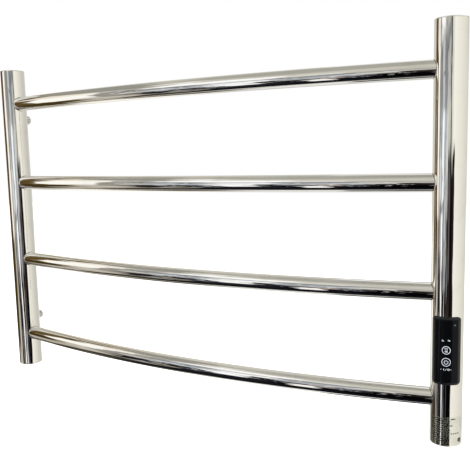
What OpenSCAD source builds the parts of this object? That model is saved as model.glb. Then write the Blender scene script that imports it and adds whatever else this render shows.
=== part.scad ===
// Wall-hung electric towel warmer: two round posts joined by four bowed bars, with a touch
// control let into the right post. All sizes are in millimetres.
// +X runs to the right along the rack, +Y runs back to the wall, +Z is up.
// The origin is the centre of the four wall bosses, on the plane where they meet the wall brackets.

/* [Frame] */
// Overall width over the two posts
overall_w = 750; // [620:5:1000]
// Height from one bar's axis to the next
bar_pitch = 130; // [112:1:180]
// Height from an outer bar's axis to the end of the post
end_margin = 55; // [52:1:120]
// How far the middle of a bar stands in front of the posts' axes
bow = 37; // [15:1:70]

/* [Posts] */
// Outside diameter of a post
post_d = 38; // [38:0.5:50]
// Wall of a post
post_wall = 1.2; // [0.8:0.1:1.6]
// Thickness of a cap's visible lip
cap_lip = 2; // [1:0.1:4]
// Chamfer round a cap's lip
cap_chamfer = 0.8; // [0.2:0.1:1]
// Depth of a cap's skirt inside the post
cap_skirt = 7; // [4:0.5:10]
// Wall of a cap's skirt
cap_skirt_wall = 1.6; // [1:0.1:3]

/* [Bars] */
// Outside diameter of a bar
bar_d = 22; // [16:0.5:27]
// Wall of a bar
bar_wall = 1; // [0.8:0.1:2]

/* [Wall bosses] */
// Outside diameter of a boss
boss_d = 14; // [12:0.5:20]
// Length of a boss behind the post
boss_len = 9; // [8:0.5:40]
// Height from the lower bosses to the upper ones
boss_pitch = 340; // [240:5:370]
// Bore of the M8 thread in a boss
thread_core_d = 6.8; // [3.3:0.1:8.5]
// Depth of the thread in a boss
thread_depth = 7.5; // [5:0.5:8]
// Diameter of the spigot that passes through the post's wall
spigot_d = 10; // [9:0.5:11.5]
// Length of the spigot inside the post
spigot_inside = 2.5; // [1:0.5:2.5]

/* [Control panel] */
// Width of the panel, straight across
panel_w = 32; // [29:0.5:34]
// Height of the panel
panel_h = 82; // [78:1:90]
// Corner radius of the panel
panel_corner = 4; // [2:0.5:7]
// How far the panel stands out of the post
panel_proud = 2.5; // [2:0.1:4]
// Turn of the panel from straight ahead towards +X, in degrees
panel_turn = 10; // [0:1:14]
// Height from the lowest bar's axis to the middle of the panel
panel_above_bar = 63; // [60:1:66]
// Width of the frame round the lens
panel_border = 3; // [2:0.5:4]
// Thickness of the lens
lens_t = 1.1; // [0.8:0.1:1.3]
// Thickness of the seal under the panel
seal_t = 0.6; // [0.3:0.1:0.9]

/* [Control tray] */
// Width of the tray behind the panel
tray_w = 24; // [24:0.5:25]
// Height of the tray
tray_h = 70; // [70:0.5:73]
// Distance from the post's axis to the back of the tray
tray_back = 5; // [5:0.1:5.5]
// Wall of the tray
tray_wall = 1.2; // [0.8:0.1:1.2]
// Thickness of the circuit board
board_t = 1.6; // [1:0.2:1.6]
// Distance from the post's axis forward to the board's front face
board_front = 12; // [11.5:0.1:13]

/* [Controls] */
// Height of the timer key above the middle of the panel
timer_key_z = 1.8; // [0:0.1:3]
// Height of the power key above the middle of the panel
power_key_z = -12.5; // [-15:0.1:-10]
// Height of the two indicator lamps above the middle of the panel
indicator_z = 13.6; // [10:0.1:18]
// Distance of each indicator lamp from the panel's centre line
indicator_x = 3.5; // [2:0.1:5]
// Height of the pilot lamp above the middle of the panel
pilot_z = 32; // [28:0.1:32]
// Distance of the pilot lamp from the panel's centre line
pilot_x = 9.4; // [7:0.1:9.4]
// Diameter of the pilot lamp
pilot_d = 1.8; // [1:0.1:2]
// Outside diameter of a touch spring
spring_d = 6; // [4:0.5:8]
// Wire of a touch spring
spring_wire_d = 0.6; // [0.4:0.1:0.8]

/* [Supply and earth] */
// Bore of the cable grommet
inlet_bore_d = 7.2; // [5:0.1:8.2]
// Hole for the grommet in the right bottom cap
grommet_hole_d = 10; // [9.5:0.5:14]
// Height of the earth stud above the foot of the post
earth_stud_z = 27; // [24:1:30]
// Diameter of the earth stud
earth_stud_d = 4; // [3:0.5:5]

/* [Heating cable] */
// Diameter of the heating cable
cable_d = 5; // [3:0.5:5.5]
// Bend radius of the cable where it leaves a bar
cable_bend = 12; // [10:0.5:14]

/* [Rating label] */
// Height of the label
label_h = 34; // [20:1:36]
// Angle that the label covers round the post
label_span = 140; // [60:5:150]
// Turn of the label's middle from straight ahead towards +X
label_turn = 30; // [25:5:35]
// Height of the label's lower edge above the foot of the post
label_foot = 3; // [3:0.5:4]

/* [Hidden] */
$fn = 96;

ARC_FACES = 480;      // faces in the full circle that a bar's bow is a part of
ROD_FACES = 64;       // faces round a bar

// Colours
STEEL = "#cfcfca";
BLACK = "#15171a";
DARK_GREY = "#3c4042";
RUBBER = "#222222";
BOARD_GREEN = "#1f5a34";
TIN = "#b9bcc0";
BRASS = "#b9944a";
CABLE = "#8d2f22";
CLEAR = "#dfe6ea";
EARTH_GREEN = "#7fa04a";
FILM = "#dedccd";

// Clearances
FIT = 0.1;            // radial gap between pieces that slide into each other
WINDOW_GAP = 0.3;     // gap round the tray in the post's window
BEYOND = 1;           // how far a cut runs past the surface that it cuts

// Frame
LEFT = -1;
RIGHT = 1;
BAR_COUNT = 4;
post_r = post_d / 2;
post_bore_r = post_r - post_wall;
post_x = overall_w / 2 - post_r;
post_y = -(boss_len + post_r);
overall_h = (BAR_COUNT - 1) * bar_pitch + 2 * end_margin;
post_end_z = overall_h / 2;
tube_end_z = post_end_z - cap_lip;
arc_r = (post_x * post_x + bow * bow) / (2 * bow);
arc_y = post_y - bow + arc_r;
arc_half = asin(post_x / arc_r);
function bar_z(i) = ((BAR_COUNT - 1) / 2 - i) * bar_pitch;

// Panel and tray, about the right post's axis, with -Y straight out of the panel
panel_z = bar_z(BAR_COUNT - 1) + panel_above_bar;
panel_r = post_r + panel_proud;
seal_r = post_r + seal_t;
lens_back_r = panel_r - lens_t;
lens_w = panel_w - 2 * panel_border;
lens_h = panel_h - 2 * panel_border;
LENS_CORNER_LEAST = 1.5;
lens_corner = max(panel_corner - panel_border, LENS_CORNER_LEAST);
SEAL_INSET = 0.5;
LEDGE_GRIP = 0.3;
cavity_w = tray_w - 2 * tray_wall;
cavity_h = tray_h - 2 * tray_wall;
floor_y = tray_back - tray_wall;
board_w = cavity_w - 2 * WINDOW_GAP;
board_h = cavity_h - 4 * WINDOW_GAP;
board_back_y = -board_front + board_t;
CLIP_W = 8;
CLIP_T = 3;
CLIP_H = 2.5;
CLIP_CLEAR = 1.9;

// Pieces on the board: heights are from the middle of the panel
PILLAR_Z = [28, -30.5];
PILLAR_D = 4.5;
SCREW_D = 2;
SCREW_HEAD_D = 3.8;
SCREW_HEAD_T = 1.2;
SCREW_GRIP = 6;
SCREW_RECESS_D = 1.1;
RELAY_SIZE = [11, 10, 15];
RELAY_Z = 14;
POWER_SIZE = [16, 9, 14];
POWER_Z = -4;
TERMINAL_SIZE = [15, 10, 12];
TERMINAL_Z = -21;
TERMINAL_PITCH = 5;
TERMINAL_WELL_D = 3;
TERMINAL_WELL = 6;
PART_EDGE = 0.8;
GUIDE_W = 3.2;
GUIDE_H = 1.8;
SPRING_TURNS = 5;
SPRING_STEPS = 10;
SPRING_SIDES = 6;

// Leads, crimps and earth: places are [x, y, height from the middle of the panel]
LEAD_D = 2;
LEAD_SIDES = 8;
FEED_SPOT = [5.5, 11, 14];
RETURN_SPOT = [-5.5, 11, -18];
CRIMP_D = 6;
CRIMP_LEN = 14;
LEAD_HOLE_D = 3.6;
FEED_LEAD = [
    [5.5, 11, 0], [5.5, 11, -8], [5.3, 10.2, -14], [4.8, 8, -19], [4.4, 4.4, -21], [4.2, -0.4, -21]
];
RETURN_LEAD = [
    [-5.5, 11, -4], [-5.5, 11, 0], [-5.5, 10, 4], [-5, 7.5, 7.5], [-4.5, 4.4, 9], [-4, -0.4, 9]
];
EARTH_LEAD_TOP = [
    [7, 11, -45], [7, 10.5, -30], [6.8, 8, -26.5], [6.6, 4.4, -25], [6.5, -0.4, -24.5]
];
EARTH_LEAD_RISE = [1, -0.6, 10];
EARTH_STUD_LEN = 9;
EARTH_TAG_D = 8;
EARTH_TAG_T = 0.8;
EARTH_TAG_OFF = 4;
EARTH_BARREL_LEN = 6;
EARTH_BARREL_X = 3.2;
EARTH_BARREL_D = 2.6;
EARTH_NUT_D = 7.6;
EARTH_NUT_T = 3;
HEX = 6;

// Temperature limiter, beside the cable inside the right post
LIMITER_SIZE = [5, 9, 20];
LIMITER_X = 11;
LIMITER_ABOVE_PANEL = 92;
CLIP_STRIP = 0.5;
CLIP_HALF_ANGLE = 32;
CLIP_LENGTH = 14;

// Grommet
GROMMET_FLANGE = 2;
GROMMET_FLANGE_T = 2;
GROMMET_BARB = 1;
GROMMET_BARB_T = 2.5;

// Label
LABEL_T = 0.12;

// Heating cable
CABLE_SIDES = 10;
BAR_RINGS = 7;
BEND_STEPS = 4;
UPRIGHT = [0, 0, 1];
BACKWARD = [0, 1, 0];
SIDEWAYS = [1, 0, 0];
// Steps from the post's axis to a place behind the tray: share of the way across, and height
// from the end of the bend
FEED_STEPS = [[1, 36], [0.8, 26], [0.2, 10]];
RETURN_STEPS = [[0.35, 4.5], [0.8, 9.5], [1, 15]];

function unit(v) = v / norm(v);

// A place in the right post, given from its axis and turned with the panel
function in_right_post(p) = [
    post_x + p[0] * cos(panel_turn) - p[1] * sin(panel_turn),
    post_y + p[0] * sin(panel_turn) + p[1] * cos(panel_turn),
    panel_z + p[2]
];

// A place on a bar's axis, at an angle from the middle of the bar
function on_bar(angle, z) = [arc_r * sin(angle), arc_y - arc_r * cos(angle), z];

// Places along a bar from one post to the other; side is the post where the run starts
function bar_run(i, side) = [
    for (k = [1:BAR_RINGS]) on_bar(side * arc_half * (1 - 2 * k / (BAR_RINGS + 1)), bar_z(i))
];

// A quarter bend from a bar into a post; way is UP or DOWN the post as +1 or -1
function bend_in(i, side, way) = [
    for (k = [0:BEND_STEPS])
        on_bar(side * arc_half, bar_z(i))
        - side * cable_bend * (1 - sin(90 * k / BEND_STEPS)) * bar_heading(side)
        + way * cable_bend * (1 - cos(90 * k / BEND_STEPS)) * UPRIGHT
];
function bar_heading(side) = [cos(arc_half), side * sin(arc_half), 0];
function reversed(list) = [for (k = [len(list) - 1:-1:0]) list[k]];

// The whole route: up the right post, through the bars in turn, and back to the control
function cable_route() = concat(
    [in_right_post(FEED_SPOT)],
    feed_top(),
    reversed(bend_in(0, RIGHT, -1)),
    bar_run(0, RIGHT),
    bend_in(0, LEFT, -1),
    reversed(bend_in(1, LEFT, 1)),
    bar_run(1, LEFT),
    bend_in(1, RIGHT, -1),
    reversed(bend_in(2, RIGHT, 1)),
    bar_run(2, RIGHT),
    bend_in(2, LEFT, -1),
    reversed(bend_in(3, LEFT, 1)),
    bar_run(3, LEFT),
    bend_in(3, RIGHT, 1),
    return_foot(),
    [in_right_post(RETURN_SPOT)]
);

// The feed leaves its place behind the tray and moves over to the post's axis below the top bar
function feed_top() = [
    for (step = FEED_STEPS)
        in_right_post([
            step[0] * FEED_SPOT[0],
            step[0] * FEED_SPOT[1],
            bar_z(0) - cable_bend - step[1] - panel_z
        ])
];

// The return moves from the post's axis to its place behind the tray above the lowest bar
function return_foot() = [
    for (step = RETURN_STEPS)
        in_right_post([
            step[0] * RETURN_SPOT[0],
            step[0] * RETURN_SPOT[1],
            bar_z(BAR_COUNT - 1) + cable_bend + step[1] - panel_z
        ])
];

// A round cord swept along a route; across is a direction that the route never follows
module cord(route, d, sides, across) {
    last = len(route) - 1;
    points = [
        for (k = [0:last])
            let (heading = unit(route[min(k + 1, last)] - route[max(k - 1, 0)]))
            let (u = unit(cross(heading, across)))
            let (v = cross(heading, u))
            for (s = [0:sides - 1])
                route[k] + d / 2 * (cos(360 * s / sides) * u + sin(360 * s / sides) * v)
    ];
    faces = concat(
        [[for (s = [0:sides - 1]) s]],
        [
            for (k = [0:last - 1])
                for (s = [0:sides - 1])
                    let (next = (s + 1) % sides)
                    for (half = [0:1])
                        half == 0
                            ? [k * sides + s, (k + 1) * sides + s, (k + 1) * sides + next]
                            : [k * sides + s, (k + 1) * sides + next, k * sides + next]
        ],
        [[for (s = [sides - 1:-1:0]) last * sides + s]]
    );
    polyhedron(points, faces);
}

module tube(r_out, r_in, z_low, z_high) {
    translate([0, 0, z_low])
        difference() {
            cylinder(r = r_out, h = z_high - z_low);
            translate([0, 0, -BEYOND])
                cylinder(r = r_in, h = z_high - z_low + 2 * BEYOND);
        }
}

// A plain rounded rectangle about its centre
module rounded_plate(w, h, r) {
    square([w - 2 * r, h], center = true);
    square([w, h - 2 * r], center = true);
    for (sx = [-1, 1])
        for (sz = [-1, 1])
            translate([sx * (w / 2 - r), sz * (h / 2 - r)])
                circle(r = r);
}

module at_post(side) {
    translate([side * post_x, post_y, 0])
        children();
}

// The panel's own place: its middle height on the right post's axis, with -Y straight out of it
module at_panel() {
    translate([post_x, post_y, panel_z])
        rotate([0, 0, panel_turn])
            children();
}

// A prism straight out of the panel with a rounded outline
module panel_prism(w, h, r) {
    rotate([90, 0, 0])
        linear_extrude(height = panel_r + BEYOND)
            rounded_plate(w, h, r);
}

// A patch of a cylinder's shell with a rounded outline
module curved_patch(r_in, r_out, w, h, corner) {
    intersection() {
        tube(r_out, r_in, -h, h);
        panel_prism(w, h, corner);
    }
}

// A box that is centred in x and z and runs from y_front to y_back
module slab(w, h, y_front, y_back, z) {
    translate([-w / 2, y_front, z - h / 2])
        cube([w, y_back - y_front, h]);
}

// The path of a bar as a solid rod of diameter d
module bar_rod(i, d, extra) {
    translate([0, arc_y, bar_z(i)])
        rotate([0, 0, -90 - arc_half - extra])
            rotate_extrude(angle = 2 * (arc_half + extra), $fn = ARC_FACES)
                translate([arc_r, 0])
                    circle(d = d, $fn = ROD_FACES);
}

// Straight bore where a bar opens into a post
module bar_mouth(i, side) {
    translate([0, 0, bar_z(i)])
        rotate([0, 0, side * arc_half])
            rotate([0, -side * 90, 0])
                cylinder(d = bar_d - 2 * bar_wall, h = post_d);
}

module boss_hole(level) {
    translate([0, 0, level * boss_pitch / 2])
        rotate([-90, 0, 0])
            cylinder(r = spigot_d / 2 + FIT, h = post_d);
}

module post_tube(side) {
    difference() {
        tube(post_r, post_bore_r, -tube_end_z, tube_end_z);
        for (i = [0:BAR_COUNT - 1])
            bar_mouth(i, side);
        for (level = [-1, 1])
            boss_hole(level);
    }
}

module left_post() {
    color(STEEL)
        at_post(LEFT)
            post_tube(LEFT);
}

module right_post() {
    color(STEEL)
        difference() {
            at_post(RIGHT)
                post_tube(RIGHT);
            at_panel()
                panel_prism(tray_w + 2 * WINDOW_GAP, tray_h + 2 * WINDOW_GAP, WINDOW_GAP);
        }
}

module bar(i) {
    color(STEEL)
        difference() {
            bar_rod(i, bar_d, 0);
            bar_rod(i, bar_d - 2 * bar_wall, BEYOND);
            for (side = [LEFT, RIGHT])
                at_post(side)
                    translate([0, 0, bar_z(i) - bar_d])
                        cylinder(r = post_r, h = 2 * bar_d);
        }
}

// A cap with its visible face at the end of the post; way is +1 for the top and -1 for the foot
module cap(side, way, hole_r) {
    skirt_r = post_bore_r - FIT;
    color(STEEL)
        at_post(side)
            translate([0, 0, way * post_end_z])
                mirror([0, 0, way > 0 ? 0 : 1])
                    rotate_extrude()
                        polygon([
                            [hole_r, 0],
                            [post_r - cap_chamfer, 0],
                            [post_r, -cap_chamfer],
                            [post_r, -cap_lip],
                            [skirt_r, -cap_lip],
                            [skirt_r, -cap_lip - cap_skirt],
                            [skirt_r - cap_skirt_wall, -cap_lip - cap_skirt],
                            [skirt_r - cap_skirt_wall, -cap_lip],
                            [hole_r, -cap_lip]
                        ]);
}

// A turned boss with a blind thread, standing on the back of a post
module boss(side, level) {
    color(STEEL)
        translate([side * post_x, 0, level * boss_pitch / 2])
            rotate([90, 0, 0])
                difference() {
                    union() {
                        difference() {
                            cylinder(d = boss_d, h = boss_len + boss_d / 2);
                            translate([0, -boss_d, boss_len + post_r])
                                rotate([-90, 0, 0])
                                    cylinder(r = post_r, h = 2 * boss_d);
                        }
                        cylinder(d = spigot_d, h = boss_len + post_wall + spigot_inside);
                    }
                    translate([0, 0, -BEYOND])
                        cylinder(d = thread_core_d, h = thread_depth + BEYOND);
                }
}

module cable_grommet() {
    bore_r = inlet_bore_d / 2;
    neck_r = grommet_hole_d / 2 - FIT;
    color(RUBBER)
        at_post(RIGHT)
            translate([0, 0, -post_end_z])
                rotate_extrude()
                    polygon([
                        [bore_r, -GROMMET_FLANGE_T],
                        [neck_r + GROMMET_FLANGE, -GROMMET_FLANGE_T],
                        [neck_r + GROMMET_FLANGE, 0],
                        [neck_r, 0],
                        [neck_r, cap_lip],
                        [neck_r + GROMMET_BARB, cap_lip],
                        [neck_r, cap_lip + GROMMET_BARB_T],
                        [bore_r, cap_lip + GROMMET_BARB_T]
                    ]);
}

module panel_seal() {
    color(RUBBER)
        at_panel()
            difference() {
                curved_patch(post_r, seal_r, panel_w - 2 * SEAL_INSET, panel_h - 2 * SEAL_INSET, panel_corner);
                panel_prism(tray_w + 2 * WINDOW_GAP, tray_h + 2 * WINDOW_GAP, WINDOW_GAP);
            }
}

module tray_shell() {
    intersection() {
        translate([0, 0, -tray_h])
            cylinder(r = seal_r + LEDGE_GRIP, h = 2 * tray_h);
        slab(tray_w, tray_h, -panel_r, tray_back, 0);
    }
}

// Hooks that hold the tray behind the edge of the window
module tray_clips() {
    front = -(post_bore_r - CLIP_CLEAR);
    for (way = [-1, 1])
        slab(CLIP_W, CLIP_H, front, front + CLIP_T, way * (tray_h + CLIP_H) / 2);
}

module pillar(z) {
    translate([0, board_back_y, z])
        rotate([-90, 0, 0])
            difference() {
                cylinder(d = PILLAR_D, h = floor_y - board_back_y);
                translate([0, 0, -BEYOND])
                    cylinder(r = SCREW_D / 2 + FIT, h = SCREW_GRIP + 2 * BEYOND);
            }
}

// A round hole through the tray's floor
module floor_hole(x, z) {
    translate([x, floor_y - BEYOND, z])
        rotate([-90, 0, 0])
            cylinder(d = LEAD_HOLE_D, h = tray_wall + 2 * BEYOND);
}

module control_housing() {
    color(DARK_GREY)
        at_panel() {
            difference() {
                union() {
                    curved_patch(seal_r, panel_r, panel_w, panel_h, panel_corner);
                    tray_shell();
                    tray_clips();
                }
                curved_patch(lens_back_r, panel_r + BEYOND, lens_w, lens_h, lens_corner);
                slab(cavity_w, cavity_h, -panel_r - BEYOND, floor_y, 0);
                floor_hole(FEED_LEAD[4][0], FEED_LEAD[4][2]);
                floor_hole(RETURN_LEAD[4][0], RETURN_LEAD[4][2]);
                floor_hole(EARTH_LEAD_TOP[3][0], EARTH_LEAD_TOP[3][2]);
            }
            for (z = PILLAR_Z)
                pillar(z);
        }
}

module touch_lens() {
    color(BLACK)
        at_panel()
            difference() {
                curved_patch(lens_back_r, panel_r, lens_w - 2 * FIT, lens_h - 2 * FIT, lens_corner);
                pilot_rod(pilot_d + 2 * FIT, panel_r + BEYOND);
            }
}

// The pilot lamp's path out of the board, ending on a cylinder of radius reach
module pilot_rod(d, reach) {
    intersection() {
        translate([pilot_x, -board_front, pilot_z])
            rotate([90, 0, 0])
                cylinder(d = d, h = panel_r);
        translate([0, 0, pilot_z - d])
            cylinder(r = reach, h = 2 * d);
    }
}

module pilot_light() {
    color(CLEAR)
        at_panel()
            pilot_rod(pilot_d, panel_r);
}

module indicator_guides() {
    color(CLEAR)
        at_panel()
            for (way = [-1, 1])
                intersection() {
                    translate([way * indicator_x, 0, 0])
                        slab(GUIDE_W, GUIDE_H, -panel_r, -board_front, indicator_z);
                    translate([0, 0, indicator_z - GUIDE_H])
                        cylinder(r = lens_back_r - FIT, h = 2 * GUIDE_H);
                }
}

module control_board() {
    color(BOARD_GREEN)
        at_panel()
            difference() {
                slab(board_w, board_h, -board_front, board_back_y, 0);
                for (z = PILLAR_Z)
                    translate([0, -board_front - BEYOND, z])
                        rotate([-90, 0, 0])
                            cylinder(r = SCREW_D / 2 + FIT, h = board_t + 2 * BEYOND);
            }
}

// Coil springs that carry each key's touch from the lens to the board
module touch_springs() {
    coil_r = (spring_d - spring_wire_d) / 2;
    y_board = -board_front - spring_wire_d;
    y_lens = -sqrt(lens_back_r * lens_back_r - spring_d * spring_d / 4) + spring_wire_d;
    count = SPRING_TURNS * SPRING_STEPS;
    color(TIN)
        at_panel()
            for (z = [timer_key_z, power_key_z])
                translate([0, 0, z])
                    cord(
                        [
                            for (k = [0:count])
                                [
                                    coil_r * cos(360 * k / SPRING_STEPS),
                                    y_board + (y_lens - y_board) * k / count,
                                    coil_r * sin(360 * k / SPRING_STEPS)
                                ]
                        ],
                        spring_wire_d, SPRING_SIDES, BACKWARD
                    );
}

// A boxed component behind the board, with a stepped rim
module board_part(size, z) {
    slab(size[0], size[2], board_back_y, board_back_y + size[1] - PART_EDGE, z);
    slab(size[0] - 2 * PART_EDGE, size[2] - 2 * PART_EDGE, board_back_y, board_back_y + size[1], z);
}

module relay() {
    color(BLACK)
        at_panel()
            board_part(RELAY_SIZE, RELAY_Z);
}

module power_module() {
    color(DARK_GREY)
        at_panel()
            board_part(POWER_SIZE, POWER_Z);
}

module terminal_block() {
    color(BOARD_GREEN)
        at_panel()
            difference() {
                board_part(TERMINAL_SIZE, TERMINAL_Z);
                for (k = [-1:1])
                    translate([k * TERMINAL_PITCH, board_back_y + TERMINAL_SIZE[1] / 2, TERMINAL_Z])
                        cylinder(d = TERMINAL_WELL_D, h = TERMINAL_WELL + BEYOND);
            }
}

module board_screws() {
    color(TIN)
        at_panel()
            for (z = PILLAR_Z)
                translate([0, -board_front, z])
                    rotate([-90, 0, 0])
                        difference() {
                            union() {
                                translate([0, 0, -SCREW_HEAD_T])
                                    cylinder(d = SCREW_HEAD_D, h = SCREW_HEAD_T);
                                cylinder(d = SCREW_D, h = board_t + SCREW_GRIP);
                            }
                            translate([0, 0, -SCREW_HEAD_T - BEYOND])
                                cylinder(d = SCREW_RECESS_D, h = SCREW_HEAD_T / 2 + BEYOND);
                        }
}

module heating_cable() {
    color(CABLE)
        cord(cable_route(), cable_d, CABLE_SIDES, BACKWARD);
}

// Crimps that join the two ends of the heating cable to their cold leads
module crimp_sleeves() {
    color(TIN)
        at_panel() {
            translate([FEED_SPOT[0], FEED_SPOT[1], FEED_SPOT[2] - CRIMP_LEN])
                cylinder(d = CRIMP_D, h = CRIMP_LEN);
            translate(RETURN_SPOT)
                cylinder(d = CRIMP_D, h = CRIMP_LEN);
        }
}

module heater_leads() {
    color(CABLE)
        at_panel() {
            cord(FEED_LEAD, LEAD_D, LEAD_SIDES, SIDEWAYS);
            cord(RETURN_LEAD, LEAD_D, LEAD_SIDES, SIDEWAYS);
        }
}

// Height of the earth stud from the middle of the panel, and the plane of its tag
earth_rel_z = earth_stud_z - post_end_z - panel_z;
earth_tag_y = post_bore_r - EARTH_TAG_OFF;

module earth_lead() {
    start = [EARTH_BARREL_X, earth_tag_y - EARTH_TAG_T / 2, earth_rel_z + EARTH_TAG_D / 2 + EARTH_BARREL_LEN];
    color(EARTH_GREEN)
        at_panel()
            cord(
                concat([start, start + EARTH_LEAD_RISE], EARTH_LEAD_TOP),
                LEAD_D, LEAD_SIDES, SIDEWAYS
            );
}

module temperature_limiter() {
    color(BLACK)
        at_post(RIGHT)
            translate([LIMITER_X, 0, panel_z + LIMITER_ABOVE_PANEL])
                union() {
                    cube(LIMITER_SIZE, center = true);
                    cube(LIMITER_SIZE + [-PART_EDGE, -PART_EDGE, 2 * PART_EDGE], center = true);
                }
}

// A spring strip that presses the limiter's holder against the inside of the post
module limiter_clip() {
    x_plate = LIMITER_X + LIMITER_SIZE[0] / 2;
    r_out = post_bore_r - FIT;
    color(TIN)
        at_post(RIGHT)
            translate([0, 0, panel_z + LIMITER_ABOVE_PANEL - CLIP_LENGTH / 2]) {
                rotate([0, 0, -CLIP_HALF_ANGLE])
                    rotate_extrude(angle = 2 * CLIP_HALF_ANGLE)
                        translate([r_out - CLIP_STRIP, 0])
                            square([CLIP_STRIP, CLIP_LENGTH]);
                translate([x_plate, -LIMITER_SIZE[1] / 2, 0])
                    cube([CLIP_STRIP, LIMITER_SIZE[1], CLIP_LENGTH]);
                translate([x_plate, -CLIP_STRIP / 2, 0])
                    cube([r_out - CLIP_STRIP / 2 - x_plate, CLIP_STRIP, CLIP_LENGTH]);
            }
}

// The stud is welded to the inside of the post's back wall and points forward
module on_stud(y, h) {
    translate([0, y, earth_rel_z])
        rotate([90, 0, 0])
            cylinder(d = earth_stud_d, h = h);
}

module earth_stud() {
    color(BRASS)
        at_panel()
            intersection() {
                on_stud(post_r, EARTH_STUD_LEN + post_wall);
                translate([0, 0, earth_rel_z - EARTH_STUD_LEN])
                    cylinder(r = post_bore_r, h = 2 * EARTH_STUD_LEN);
            }
}

module earth_tag() {
    color(TIN)
        at_panel()
            difference() {
                union() {
                    translate([0, earth_tag_y, earth_rel_z])
                        rotate([90, 0, 0])
                            cylinder(d = EARTH_TAG_D, h = EARTH_TAG_T);
                    translate([EARTH_BARREL_X - EARTH_BARREL_D / 2, earth_tag_y - EARTH_TAG_T, earth_rel_z])
                        cube([EARTH_BARREL_D, EARTH_TAG_T, EARTH_TAG_D / 2]);
                    translate([EARTH_BARREL_X, earth_tag_y - EARTH_TAG_T / 2, earth_rel_z + EARTH_TAG_D / 2])
                        cylinder(d = EARTH_BARREL_D, h = EARTH_BARREL_LEN);
                }
                translate([0, earth_tag_y + BEYOND, earth_rel_z])
                    rotate([90, 0, 0])
                        cylinder(r = earth_stud_d / 2 + FIT, h = EARTH_TAG_T + 2 * BEYOND);
            }
}

module earth_nut() {
    color(BRASS)
        at_panel()
            translate([0, earth_tag_y - EARTH_TAG_T, earth_rel_z])
                rotate([90, 0, 0])
                    difference() {
                        cylinder(d = EARTH_NUT_D, h = EARTH_NUT_T, $fn = HEX);
                        translate([0, 0, -BEYOND])
                            cylinder(r = earth_stud_d / 2 + FIT, h = EARTH_NUT_T + 2 * BEYOND);
                    }
}

module rating_label() {
    color(FILM)
        at_post(RIGHT)
            translate([0, 0, -post_end_z + label_foot])
                rotate([0, 0, label_turn - 90 - label_span / 2])
                    rotate_extrude(angle = label_span)
                        translate([post_r, 0])
                            square([LABEL_T, label_h]);
}

left_post();
right_post();
bar(0);  // bar_1
bar(1);  // bar_2
bar(2);  // bar_3
bar(3);  // bar_4
cap(LEFT, 1, 0);  // left_top_cap
cap(LEFT, -1, 0);  // left_bottom_cap
cap(RIGHT, 1, 0);  // right_top_cap
cap(RIGHT, -1, grommet_hole_d / 2);  // right_bottom_cap
boss(LEFT, 1);  // left_upper_boss
boss(LEFT, -1);  // left_lower_boss
boss(RIGHT, 1);  // right_upper_boss
boss(RIGHT, -1);  // right_lower_boss
cable_grommet();
panel_seal();
control_housing();
touch_lens();
pilot_light();
indicator_guides();
control_board();
touch_springs();
relay();
power_module();
terminal_block();
board_screws();
heating_cable();
crimp_sleeves();
heater_leads();
earth_lead();
temperature_limiter();
limiter_clip();
earth_stud();
earth_tag();
earth_nut();
rating_label();
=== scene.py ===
import math

import bmesh
import bpy
from mathutils import Matrix, Vector


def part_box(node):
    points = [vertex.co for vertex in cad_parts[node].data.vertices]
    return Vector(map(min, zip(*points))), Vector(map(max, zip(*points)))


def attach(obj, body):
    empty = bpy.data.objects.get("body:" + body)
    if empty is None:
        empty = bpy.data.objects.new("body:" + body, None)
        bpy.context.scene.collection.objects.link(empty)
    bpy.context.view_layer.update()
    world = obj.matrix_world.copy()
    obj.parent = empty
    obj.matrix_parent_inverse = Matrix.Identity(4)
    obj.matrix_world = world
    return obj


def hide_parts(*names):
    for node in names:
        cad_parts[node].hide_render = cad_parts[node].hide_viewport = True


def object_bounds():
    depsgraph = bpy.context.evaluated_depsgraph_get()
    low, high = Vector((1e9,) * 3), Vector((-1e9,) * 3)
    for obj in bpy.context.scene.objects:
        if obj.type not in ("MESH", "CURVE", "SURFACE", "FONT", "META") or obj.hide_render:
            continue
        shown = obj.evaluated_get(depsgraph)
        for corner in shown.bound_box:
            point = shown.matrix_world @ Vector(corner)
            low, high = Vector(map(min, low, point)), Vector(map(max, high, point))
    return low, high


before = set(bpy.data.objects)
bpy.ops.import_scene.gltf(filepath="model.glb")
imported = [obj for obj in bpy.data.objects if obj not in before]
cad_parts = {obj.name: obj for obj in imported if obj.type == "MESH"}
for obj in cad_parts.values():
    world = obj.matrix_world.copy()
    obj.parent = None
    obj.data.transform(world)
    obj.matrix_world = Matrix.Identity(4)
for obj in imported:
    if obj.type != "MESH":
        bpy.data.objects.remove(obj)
cad_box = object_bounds()

MM = 0.001
BODY = "root"

# ---------------------------------------------------------------------------------------------
# Places and sizes, worked out from the frame
# ---------------------------------------------------------------------------------------------


def middle(node):
    low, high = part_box(node)
    return (low + high) / 2


def spread(node):
    low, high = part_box(node)
    return high - low


BAR_NODES = ["bar_1", "bar_2", "bar_3", "bar_4"]
LEFT_AXIS = middle("left_bottom_cap")
RIGHT_AXIS = middle("right_bottom_cap")
POST_R = spread("left_bottom_cap").x / 2
POST_WALL = 1.2 * MM
POST_BORE_R = POST_R - POST_WALL
TUBE_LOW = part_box("left_post")[0].z
TUBE_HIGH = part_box("left_post")[1].z
CAP_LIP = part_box("left_top_cap")[1].z - TUBE_HIGH

BAR_R = spread("bar_1").z / 2
BAR_WALL = 1.0 * MM
BAR_Z = [middle(node).z for node in BAR_NODES]
POST_X = RIGHT_AXIS.x
POST_Y = RIGHT_AXIS.y
BOW = POST_Y - (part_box("bar_1")[0].y + BAR_R)
ARC_R = (POST_X ** 2 + BOW ** 2) / (2 * BOW)
ARC_Y = POST_Y - BOW + ARC_R
ARC_HALF = math.asin(POST_X / ARC_R)

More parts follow.
